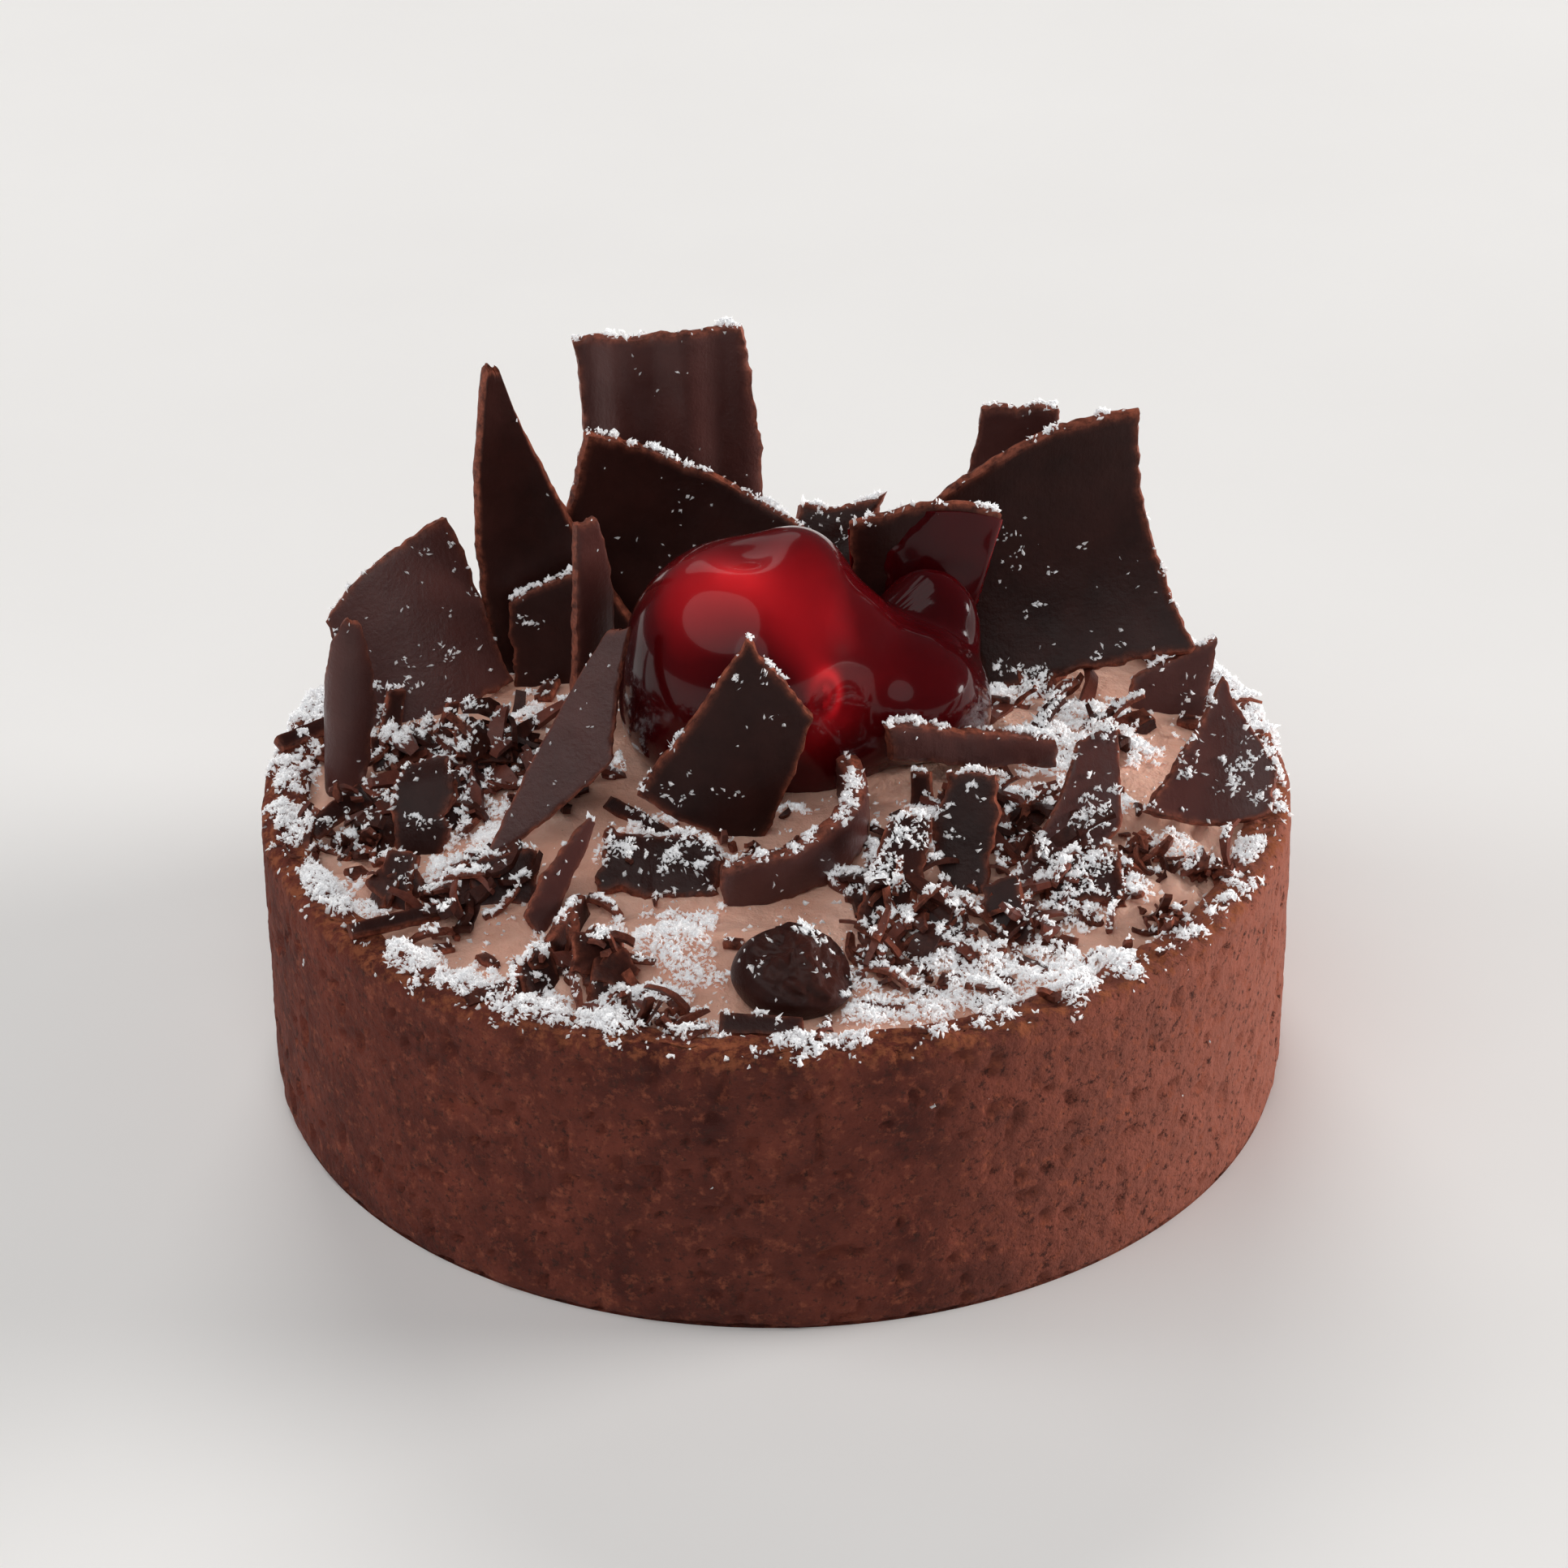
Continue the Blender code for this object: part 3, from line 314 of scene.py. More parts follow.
# Where sugar lies thick: x, y, reach and strength
DRIFTS = (
    (-23.5, -22.3, 2.2, 1), (-19.4, -25.7, 2.5, 1), (-14.7, -28.2, 2.8, 1), (-10.6, -29.4, 2.8, 1),
    (-6, -30.8, 2.2, 0.7), (0.6, -32.7, 1.9, 0.6), (6.2, -28.4, 2.2, 0.9), (9.8, -27.1, 2.5, 1),
    (13.9, -27.6, 2.5, 1), (18.1, -25.7, 2.5, 1), (21.3, -23.3, 1.9, 0.9), (31.2, -10.4, 2.2, 1),
    (29.4, -16, 1.6, 0.7), (34, -0.3, 1.6, 1), (34.3, 5.2, 1.6, 0.9), (32.8, 14.4, 1.9, 1),
    (30.3, 18.1, 1.9, 1), (-33.4, 0, 1.6, 0.9), (-31.4, -7.5, 1.6, 0.8), (-29.6, -13.2, 1.9, 0.9),
    (-27.3, -15.9, 1.9, 0.9), (-34.1, 12.4, 1.6, 0.8), (-32.7, 16.5, 1.6, 0.8), (-6.6, -22.4, 2.8, 1),
    (-6.1, -24.8, 2.2, 0.9), (-4.5, -20.2, 1.9, 0.7), (-10.3, -20.5, 1.6, 0.6), (-8.3, -12.2, 2.8, 0.9),
    (-5.1, -14.3, 2.5, 0.9), (-0.9, -8.1, 2.2, 0.9), (-6.2, -9.7, 1.9, 0.7), (-15, -3.5, 1.9, 0.7),
    (-19.1, 1.8, 2.5, 0.9), (-20.9, -5.2, 2.5, 0.9), (-17.9, -11.6, 1.9, 0.8), (-21.6, -12.7, 2.2, 0.9),
    (-25.8, -6, 2.2, 0.7), (-28.6, -4.2, 1.6, 0.7), (-18.8, -4.7, 1.9, 0.8), (-21.9, -17, 1.6, 0.6),
    (-9.6, -1.3, 1.6, 0.6), (19.9, -2.2, 3.2, 1), (21.5, 6.1, 2.8, 1), (17.5, -5.7, 2.5, 0.9),
    (24.6, 2.2, 2.2, 0.8), (16.2, -10.7, 1.9, 0.7), (18.5, -17.5, 2.5, 0.9), (13, -23.8, 2.8, 1),
    (15.5, -25.2, 2.2, 1), (9.9, -8.7, 1.9, 0.8), (6, -12.7, 1.6, 0.6), (7.5, -18.6, 1.6, 0.7),
    (11.6, -19.1, 1.6, 0.8), (15.5, -3, 1.6, 0.7), (26.9, 11.4, 1.9, 0.8), (18.3, 10.5, 1.9, 0.9),
    (16, 8.7, 1.9, 0.7), (27, -9.7, 1.6, 0.5), (23.4, -15, 1.6, 0.7), (-11.2, 19.9, 1.6, 0.8),
    (-13.9, 30.2, 1.9, 0.6), (1.1, -29.6, 1.6, 0.4), (4.3, -22.7, 1.3, 0.5), (-24.9, 7, 1.9, 0.5),
    (-17, 5.9, 1.9, 0.6), (-2, 12, 3, 0.8), (6, 14, 3, 0.8), (12, 27, 3, 0.9), (-4, 29, 3, 0.8),
    (22, 24, 3, 0.8), (-22, 23, 3, 0.9), (4, 24, 2.5, 0.7), (-20.5, -1, 2.8, 1), (-22, -8, 2.4, 1),
    (-19, -9.5, 2, 1), (-24.5, 3.5, 2.4, 0.9), (21, -5, 2.6, 1), (19, 3, 3, 1), (13.5, -12, 2.2, 0.9),
    (8, -15.5, 1.8, 0.8), (20.5, -12.5, 2, 0.9), (10, -24.5, 2.6, 1), (6, -26, 2.2, 0.8),
    (17, -23, 2.4, 1), (-7, -26.5, 2.2, 0.8),
)

# Lights: name, place and size in metres, power in watts, colour, and whether glossy surfaces mirror them
LIGHTS = (
    ("back_light", (-0.15, 1.60, 0.95), (1.10, 0.45), 15, (1.0, 0.99, 0.975), False),
    ("right_light", (1.70, 0.28, 0.42), (0.95, 0.55), 34, (1.0, 0.985, 0.97), False),
    ("left_light", (-1.65, 0.30, 0.50), (0.80, 0.55), 9, (0.98, 0.99, 1.0), False),
    ("front_card", (0.15, -1.35, 0.92), (0.90, 1.15), 2.3, (1.0, 1.0, 1.0), True),
    ("top_card", (-0.62, -0.55, 1.50), (2.70, 1.90), 13.5, (1.0, 1.0, 1.0), True),
    ("side_card", (1.30, 0.14, 0.10), (0.30, 0.14), 1.1, (1.0, 1.0, 1.0), True),
    ("back_card", (-0.40, 1.45, 0.85), (0.80, 0.45), 0.45, (1.0, 1.0, 1.0), True),
)
LIGHTS_AIM = (0, 0, 0.02)
WORLD_COLOUR = (0.95, 0.97, 1.0, 1)
WORLD_LIGHT = 0.085
FLOOR_HALF = 3

# The photo's camera: degrees, mm, and pixels for its focal length and its frame
CAMERA = dict(tilt=30.185, roll=-0.634, distance=335.8, aim=(0.553, 0, 20.083), focal=6103.8, frame=1932)
SENSOR = 36


# Numbers in space

def lattice(cells, seed):
    """A random value from -1 to 1 for each cell of a 3D lattice."""
    cells = cells.astype(np.int64)
    mixed = cells[:, 0] * 374761393 + cells[:, 1] * 668265263 + cells[:, 2] * 1274126177 + seed * 1013904223
    mixed &= 0xFFFFFFFF
    mixed = ((mixed ^ (mixed >> 13)) * 1274126177) & 0xFFFFFFFF
    return ((mixed ^ (mixed >> 16)) & 0xFFFF) / 32767.5 - 1


def smooth_noise(points, length, seed=0):
    """Smooth noise from -1 to 1 at points, with bumps of about a given length."""
    points = np.asarray(points, float) / length
    if points.shape[1] == 2:
        points = np.column_stack((points, np.zeros(len(points))))
    base = np.floor(points)
    share = points - base
    share = share * share * (3 - 2 * share)
    total = np.zeros(len(points))
    for corner in itertools.product((0, 1), repeat=3):
        corner = np.array(corner)
        weight = np.prod(np.where(corner, share, 1 - share), axis=1)
        total += weight * lattice(base + corner, seed)
    return total


def fractal(points, length, octaves=3, seed=0):
    """Noise in octaves, each half as long and half as strong as the one before."""
    total = sum(smooth_noise(points, length / 2**k, seed + k) / 2**k for k in range(octaves))
    return total / 1.5


def blend_in(value, low, high):
    """0 below low, 1 above high and a smooth step between them."""
    share = np.clip((value - low) / (high - low), 0, 1)
    return share * share * (3 - 2 * share)


# Materials

def put(tree, kind, inputs=None, **settings):
    """A shader node, with its settings made and its inputs set or linked."""
    made = tree.nodes.new("ShaderNode" + kind)
    for key, value in settings.items():
        setattr(made, key, value)
    for key, value in (inputs or {}).items():
        if isinstance(value, bpy.types.NodeSocket):
            tree.links.new(value, made.inputs[key])
        else:
            made.inputs[key].default_value = value
    return made


def new_material(name, **values):
    """A material and its node tree, with the given values set on its Principled shader."""
    made = bpy.data.materials.new(name)
    made.use_nodes = True
    for key, value in values.items():
        made.node_tree.nodes["Principled BSDF"].inputs[key.replace("_", " ")].default_value = value
    return made, made.node_tree


def wired(material, **sockets):
    """A material whose shader's inputs are linked to the given sockets."""
    tree = material.node_tree
    for key, socket in sockets.items():
        tree.links.new(socket, tree.nodes["Principled BSDF"].inputs[key.replace("_", " ")])
    return material


def grain(tree, length, detail=3, roughness=0.55, stretch=None, source="Object"):
    """Noise with features of a given length in mm, from 0 to 1."""
    coordinates = put(tree, "TexCoord").outputs[source]
    if stretch:
        coordinates = put(tree, "Mapping", {"Vector": coordinates, "Scale": stretch}).outputs["Vector"]
    unit = 1000 if source == "Object" else 1
    return put(tree, "TexNoise", {
        "Vector": coordinates, "Scale": unit / length, "Detail": detail, "Roughness": roughness,
    }).outputs["Fac"]


def ramp(tree, factor, *stops):
    """A colour ramp of (place, colour) stops."""
    made = put(tree, "ValToRGB", {"Fac": factor})
    elements = made.color_ramp.elements
    while len(elements) < len(stops):
        elements.new(0.5)
    for element, (place, colour) in zip(elements, stops):
        element.position = place
        element.color = (*colour, 1) if isinstance(colour, tuple) else (colour, colour, colour, 1)
    return made.outputs["Color"]


def mixed(tree, factor, low, high):
    """One colour turning into another."""
    made = put(tree, "Mix", data_type="RGBA")
    for index, value in ((0, factor), (6, low), (7, high)):
        if isinstance(value, bpy.types.NodeSocket):
            tree.links.new(value, made.inputs[index])
        else:
            made.inputs[index].default_value = (*value, 1) if isinstance(value, tuple) else value
    return made.outputs[2]


def maths(tree, operation, first, second):
    """A sum on two numbers."""
    return put(tree, "Math", {0: first, 1: second}, operation=operation).outputs[0]


def attribute(tree, name="edge"):
    """A value that a mesh carries at its points."""
    return put(tree, "Attribute", attribute_name=name).outputs["Fac"]


def bump(tree, height, distance, strength, normal=None):
    """Relief whose height is given in mm."""
    inputs = {"Height": height, "Distance": distance * MM, "Strength": strength}
    if normal:
        inputs["Normal"] = normal
    return put(tree, "Bump", inputs).outputs["Normal"]


def crust_material():
    """Baked cocoa pastry: mottled, with painted light that makes it paler towards its right side where the
    light falls, brown flecks and dark pores.
    """
    made, tree = new_material("crust_baked", Roughness=0.8, Specular_IOR_Level=0.22)
    cloud = ramp(tree, grain(tree, 4.5, 6, 0.65),
                 (0.32, (0.064, 0.0138, 0.0098)), (0.68, (0.182, 0.0420, 0.0255)))
    place = put(tree, "SeparateXYZ", {0: put(tree, "TexCoord").outputs["Object"]})
    # Painted light: the pastry is paler towards +x, the side the light falls on
    paler = put(tree, "MapRange", {0: place.outputs["X"], 1: 0.008, 2: 0.036, 3: 0.0, 4: 0.7}).outputs[0]
    cloud = mixed(tree, paler, cloud, (0.36, 0.125, 0.085))
    flecks = ramp(tree, grain(tree, 0.9, 4, 0.7), (0.54, 0.0), (0.70, 1.0))
    colour = mixed(tree, flecks, cloud, (0.26, 0.070, 0.038))
    pores = ramp(tree, grain(tree, 0.6, 5, 0.75), (0.36, 1.0), (0.46, 0.0))
    colour = mixed(tree, pores, colour, (0.055, 0.017, 0.012))
    speckled = ramp(tree, grain(tree, 0.9, 4, 0.7), (0.46, 0.0), (0.60, 1.0))
    colour = mixed(tree, maths(tree, "MULTIPLY", attribute(tree), speckled), colour, (0.27, 0.080, 0.036))
    fine = bump(tree, grain(tree, 0.3, 4, 0.7), 0.12, 0.9)
    return wired(made, Base_Color=colour, Normal=bump(tree, grain(tree, 1.1, 3, 0.6), 0.45, 0.85, fine))


def cream_material():
    """Chocolate cream with a few dark specks and small bubbles."""
    made, tree = new_material("cream_chocolate", Roughness=0.6, Subsurface_Weight=0.3,
                              Subsurface_Radius=(1.0, 0.6, 0.45), Subsurface_Scale=0.0012)
    colour = ramp(tree, grain(tree, 5, 4), (0.3, (0.72, 0.372, 0.268)), (0.7, (0.89, 0.538, 0.418)))
    specks = ramp(tree, grain(tree, 0.9, 3, 0.8), (0.22, 1.0), (0.28, 0.0))
    colour = mixed(tree, specks, colour, (0.30, 0.12, 0.08))
    fine = bump(tree, grain(tree, 0.5, 4, 0.65), 0.12, 1.0)
    return wired(made, Base_Color=colour, Normal=bump(tree, grain(tree, 2.2, 4, 0.6), 0.45, 0.8, fine))


def chocolate_material(name, low, high, sheen):
    """Dark chocolate: the darker and paler colours of its faces, and how much they shine."""
    made, tree = new_material(name, Specular_IOR_Level=sheen)
    edge = attribute(tree)
    face = ramp(tree, grain(tree, 3.5, 5), (0.3, low), (0.75, high))
    # Broken edges are a paler reddish brown: partly the colour of broken chocolate, partly painted highlight
    # where the edges catch the light
    torn = ramp(tree, grain(tree, 0.6, 4, 0.7), (0.35, (0.065, 0.017, 0.011)), (0.65, (0.32, 0.088, 0.050)))
    rough = ramp(tree, grain(tree, 2.5, 4), (0.3, 0.30), (0.7, 0.44))
    fine = bump(tree, grain(tree, 0.35, 4, 0.65), 0.07, 0.8)
    streaks = grain(tree, 1.0, 3, 0.6, stretch=(3.0, 0.4, 1), source="UV")
    return wired(made, Base_Color=mixed(tree, edge, face, torn),
                 Roughness=mixed(tree, edge, rough, (0.6, 0.6, 0.6)),
                 Normal=bump(tree, streaks, 0.05, 0.45, fine))


def cherry_material(name, coat):
    """Red glaze coloured by painted light from the mesh: near black where its weight is low, painted shade,
    and bright red where it is high, under a clear coat.
    """
    made, tree = new_material(
        name, Roughness=0.16, Specular_IOR_Level=0.1, Coat_Weight=coat, Coat_Roughness=0.05, Coat_IOR=1.31,
        Subsurface_Weight=0.25, Subsurface_Radius=(1.0, 0.10, 0.08), Subsurface_Scale=0.002)
    # The edge weight is painted light with a little random cloud added, and the ramp runs from painted shade
    # to painted light
    cloud = maths(tree, "MULTIPLY", maths(tree, "SUBTRACT", grain(tree, 4, 3), 0.5), 0.18)
    return wired(made, Base_Color=ramp(
        tree, maths(tree, "ADD", attribute(tree), cloud), (0.0, (0.022, 0.0010, 0.0018)),
        (0.3, (0.085, 0.0020, 0.0035)), (0.65, (0.33, 0.006, 0.010)), (1.0, (0.66, 0.016, 0.022))))


def sugar_material():
    """White grains. The slight emission stands for light that is scattered inside them."""
    made, tree = new_material(
        "sugar", Roughness=0.45, Subsurface_Weight=1.0, Subsurface_Radius=(1.0, 1.0, 1.0),
        Subsurface_Scale=0.001, Emission_Color=(0.98, 0.985, 1.0, 1), Emission_Strength=0.10)
    return wired(made, Base_Color=ramp(
        tree, grain(tree, 1.2, 2), (0.3, (0.965, 0.97, 0.985)), (0.7, (0.99, 0.99, 0.995))))


def floor_material():
    """A plain pale surface."""
    made, tree = new_material("pale_floor", Roughness=0.6)
    return wired(made, Base_Color=ramp(
        tree, grain(tree, 60, 4), (0.3, (0.88, 0.862, 0.845)), (0.7, (0.91, 0.894, 0.877))))


# Pieces

# What catches the sugar and the crumbs: name, points, faces and torn-edge weights of each piece
shapes = []


def linked(made):
    """An object, once it is in the scene."""
    bpy.context.scene.collection.objects.link(made)
    return made


def add_piece(name, points, faces, material, replaced=(), edge=None, uv=None, sharp=None, caster=True,
              smooth=True):
    """A piece of the tart, from points in mm. Sugar falls on it where it is a caster."""
    mesh = bpy.data.meshes.new(name)
    mesh.from_pydata(points * MM, [], faces)
    if smooth:
        mesh.shade_smooth()
    if sharp:
        mesh.set_sharp_from_angle(angle=math.radians(sharp))
    if edge is not None:
        mesh.attributes.new("edge", "FLOAT", "POINT").data.foreach_set("value", edge.astype(np.float32))
    if uv is not None:
        layer = mesh.uv_layers.new(name="flat")
        corners = np.empty(len(mesh.loops), np.int32)
        mesh.loops.foreach_get("vertex_index", corners)
        layer.data.foreach_set("uv", uv[corners].astype(np.float32).ravel())
    mesh.materials.append(material)
    piece = linked(bpy.data.objects.new(name, mesh))
    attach(piece, "root")
    if replaced:
        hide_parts(*replaced)
    if caster:
        shapes.append((name, points, faces, edge if edge is not None else np.zeros(len(points))))


def grid_faces(rows, columns, closed=False):
    """Quads of a grid whose points go along a row first. A closed grid joins its last column to its first."""
    faces = []
    for row in range(rows - 1):
        for column in range(columns if closed else columns - 1):
            a, b = row * columns + column, row * columns + (column + 1) % columns
            faces.append((a, b, b + columns, a + columns))
    return faces


def lathe(profile, columns):
    """Points of a turned shape, a row for each (radius, height) of its profile, their radii and angles."""
    radius, height = (np.repeat(values, columns) for values in np.array(profile, float).T)
    turn = np.tile(np.linspace(0, 2 * np.pi, columns, endpoint=False), len(profile))
    return np.column_stack((radius * np.cos(turn), radius * np.sin(turn), height)), radius, turn


def turned_faces(rows, columns, down=False):
    """Faces of a turned shape whose rows run up its side, or down it. Its first and last rows are filled."""
    last = (rows - 1) * columns
    faces = grid_faces(rows, columns, closed=True)
    faces += [tuple(range(columns))[::-1], tuple(range(last, last + columns))]
    return [face[::-1] for face in faces] if down else faces


def slab_faces(rows, columns):
    """Faces of a grid and of one behind it that looks the other way."""
    faces = grid_faces(rows, columns)
    return faces + [tuple(rows * columns + i for i in face[::-1]) for face in faces]


def outline(rows, columns, inset=0):
    """The numbers of a grid's points round its outside, or of those that lie inset rows further in."""
    number = np.arange(rows * columns).reshape(rows, columns)
    return np.concatenate((number[inset, :-1], number[:-1, -1 - inset],
                           number[-1 - inset, :0:-1], number[:0:-1, inset]))


def band_faces(upper, lower):
    """Faces between two rings of points, given by their numbers."""
    return np.column_stack((upper, lower, np.roll(lower, -1), np.roll(upper, -1))).tolist()


def grid_normals(points, rows):
    """The normals of a grid's points."""
    grid = points.reshape(rows, -1, 3)
    normal = np.cross(np.gradient(grid, axis=1), np.gradient(grid, axis=0)).reshape(-1, 3)
    return normal / (np.linalg.norm(normal, axis=1)[:, None] + 1e-9)


def joined(parts):
    """Points, faces and torn-edge weights of parts, in one mesh."""
    faces, start = [], 0
    for points, part_faces, _ in parts:
        faces += [tuple(start + i for i in face) for face in part_faces]
        start += len(points)
    return np.concatenate([p for p, _, _ in parts]), faces, np.concatenate([e for _, _, e in parts])


def cream_height(x, y):
    """The height of the cream's surface, as in the solid: a dome with soft folds and waves."""
    radius = math.hypot(x, y)
    height = CREAM_EDGE + CREAM_RISE * math.cos(math.pi / 2 * min(radius / INNER_RADIUS, 1))
    height += CREAM_WAVES * noise.noise(Vector((x, y, 0)) / CREAM_WAVE_LENGTH)
    for fold in CREAM_FOLDS:
        heading = math.radians(fold["heading"])
        dx, dy = x - fold["at"][0], y - fold["at"][1]
        along = (dx * math.cos(heading) + dy * math.sin(heading)) / fold["length"]
        across = (dy * math.cos(heading) - dx * math.sin(heading)) / fold["width"]
        height += fold["height"] * math.exp(-(along**2) - across**2)
    return height


def make_crust():
    """The cocoa shell, with its pores and its craggy rim."""
    def arc(r, z, radius, start, end, points):
        angles = np.radians(np.linspace(start, end, points))
        return [(r + radius * math.cos(a), z + radius * math.sin(a)) for a in angles]

    rim_low, rim_edge = TART_HEIGHT - RIM_INNER_ROUND, TART_RADIUS - RIM_ROUND
    wall_top, wall_foot = TART_HEIGHT - RIM_ROUND - 0.33, BASE_ROUND + 0.33
    profile = [(8, FLOOR)] + arc(INNER_RADIUS - INNER_ROUND, FLOOR + INNER_ROUND, INNER_ROUND, -90, 0, 3)
    profile += [(INNER_RADIUS, z) for z in np.linspace(17.5, rim_low, 6)[:-1]]
    profile += arc(INNER_RADIUS + RIM_INNER_ROUND, rim_low, RIM_INNER_ROUND, 180, 90, 4)
    profile += [(r, TART_HEIGHT) for r in np.linspace(INNER_RADIUS + 0.9, rim_edge - 0.3, 6)]
    profile += arc(rim_edge, TART_HEIGHT - RIM_ROUND, RIM_ROUND, 90, 0, 6)
    profile += [(TART_RADIUS, z) for z in np.linspace(wall_top, wall_foot, WALL_ROWS)]
    profile += arc(TART_RADIUS - BASE_ROUND, BASE_ROUND, BASE_ROUND, 0, -90, 4)
    profile += [(32, 0), (16, 0)]
    points, radius, turn = lathe(profile, CRUST_COLUMNS)
    height = points[:, 2].copy()
    outward = np.column_stack((np.cos(turn), np.sin(turn), np.zeros(len(turn))))
    outside = (radius > TART_RADIUS - 1.3) & (height > 0.02)
    lower = WALL_DENTS * (1 + fractal(points, 3, 2, 3)) + WALL_GRAIN * (1 + fractal(points, 0.9, 3, 11))
    pits = smooth_noise(points, 0.85, 21) + 0.25 * smooth_noise(points, 3, 22)
    lower += PIT_DEPTH * blend_in(pits, 0.48, 0.74)
    foot = np.exp(-height / FOOT_REACH)
    lower += foot * (1 + fractal(points, 1.2, 2, 31)) * FOOT_WEAR
    points -= outward * np.where(outside, lower, 0)[:, None]
    on_rim = blend_in(height, TART_HEIGHT - 1.0, TART_HEIGHT - 0.3) * (radius > INNER_RADIUS - 0.1)
    crags = RIM_CRAGS * fractal(points, 2.0, 3, 41) + RIM_GRAIN * fractal(points, 0.6, 2, 51)
    points[:, 2] += on_rim * (crags - 0.1)
    notches = on_rim * (radius < INNER_RADIUS + 1) * RIM_NOTCHES * fractal(points, 1.6, 2, 61)
    points -= outward * notches[:, None]
    warm = np.clip(on_rim * 0.85 + blend_in(height, 17, 20.3) * 0.10 + 0.15 * foot, 0, 1)
    faces = turned_faces(len(profile), CRUST_COLUMNS, down=True)
    add_piece("crust_look", points, faces, crust_material(), ("crust",), edge=warm)


def make_cream():
    """The cream, with spoon marks, small waves and torn places."""
    profile = [(r, 0) for r in np.linspace(0.3, INNER_RADIUS + 0.05, CREAM_RINGS)]
    points, radius, _ = lathe(profile, CREAM_COLUMNS)
    flat = points[:, :2]
    x, y = flat.T
    height = np.array([cream_height(a, b) for a, b in flat])
    swirl = np.column_stack((x * 0.45 + y * 0.1, y))
    height += SPOON_MARKS * fractal(swirl, 2.8, 3, 5) + CREAM_GRAIN * fractal(flat, 0.7, 2, 6)
    for tear in CREAM_TEARS:
        away = np.hypot(x - tear["at"][0], y - tear["at"][1]) / tear["reach"]
        ragged = np.abs(fractal(flat, 1.3, 3, 9)) - 0.22 - 0.35 * (smooth_noise(flat, 0.7, 10) > 0.45)
        height += tear["depth"] * np.exp(-(away**2)) * ragged
    layers = [np.column_stack((flat, height))]
    below = ((INNER_RADIUS - 0.1, 18.5), (INNER_RADIUS - 0.1, 4.8), (INNER_RADIUS - INNER_ROUND, FLOOR + 0.1))
    for reach, z in below:
        ring = flat[-CREAM_COLUMNS:] * reach / radius[-1]
        layers.append(np.column_stack((ring, np.full(CREAM_COLUMNS, z))))
    faces = turned_faces(CREAM_RINGS + len(below), CREAM_COLUMNS, down=True)
    add_piece("cream_look", np.concatenate(layers), faces, cream_material(), ("cream",), sharp=70)


def plate_flat(plate, s, t):
    """The flat places of the points s of the way across a plate and t of the way up."""
    corners = np.array(plate["corners"], float)
    low_left, low_right, high_right, high_left = corners
    s, t = s[:, None], t[:, None]
    low, high = low_left + (low_right - low_left) * s, high_left + (high_right - high_left) * s
    place = low + (high - low) * t
    across, up = 4 * s * (1 - s), 4 * t * (1 - t)
    for side, bow, share, reach in zip(np.roll(corners, -1, axis=0) - corners, plate.get("bow", (0, 0, 0, 0)),
                                       (across, up, across, up), (1 - t, s, t, 1 - s)):
        place = place + np.array((side[1], -side[0])) / np.linalg.norm(side) * bow * share * reach
    return place


def plate_bent(plate, flat):
    """The places of flat points once the plate is rolled round its axis and rippled."""
    middle = np.mean(np.array(plate["corners"], float), axis=0)
    out = np.zeros(len(flat))
    place = flat.copy()
    if "curl" in plate:
        heading, radius = math.radians(plate["curl"][0]), plate["curl"][1]
        across = np.array((-math.sin(heading), math.cos(heading)))
        reach = (flat - middle) @ across
        place = flat + across * (radius * np.sin(reach / radius) - reach)[:, None]
        out = -radius * (1 - np.cos(reach / radius))
    if "ripple" in plate:
        height, length = plate["ripple"]
        out = out + height * np.sin(2 * np.pi * flat[:, 0] / length)
    return np.column_stack((place, out))


def plate_frame(plate):
    """The rows across, up and out of a standing plate's face, and its foot on the cream."""
    turn, lean = math.radians(plate["turn"]), math.radians(plate["lean"])
    across = np.array((math.cos(turn), math.sin(turn), 0))
    up = np.array((-math.sin(turn) * math.sin(lean), math.cos(turn) * math.sin(lean), math.cos(lean)))
    x, y = plate["at"]
    foot = np.array((x, y, cream_height(x, y) + plate.get("lift", 0)))
    return np.array((across, up, np.cross(across, up))), foot


def torn(along, seed, amount):
    """How far a broken side stands out, at distances along it."""
    line = np.column_stack((along, np.full(len(along), seed * 7.3)))
    return amount * (0.20 * smooth_noise(line, 2.4, seed) + 0.13 * smooth_noise(line, 0.8, seed + 1)
                     + 0.08 * smooth_noise(line, 0.35, seed + 2))


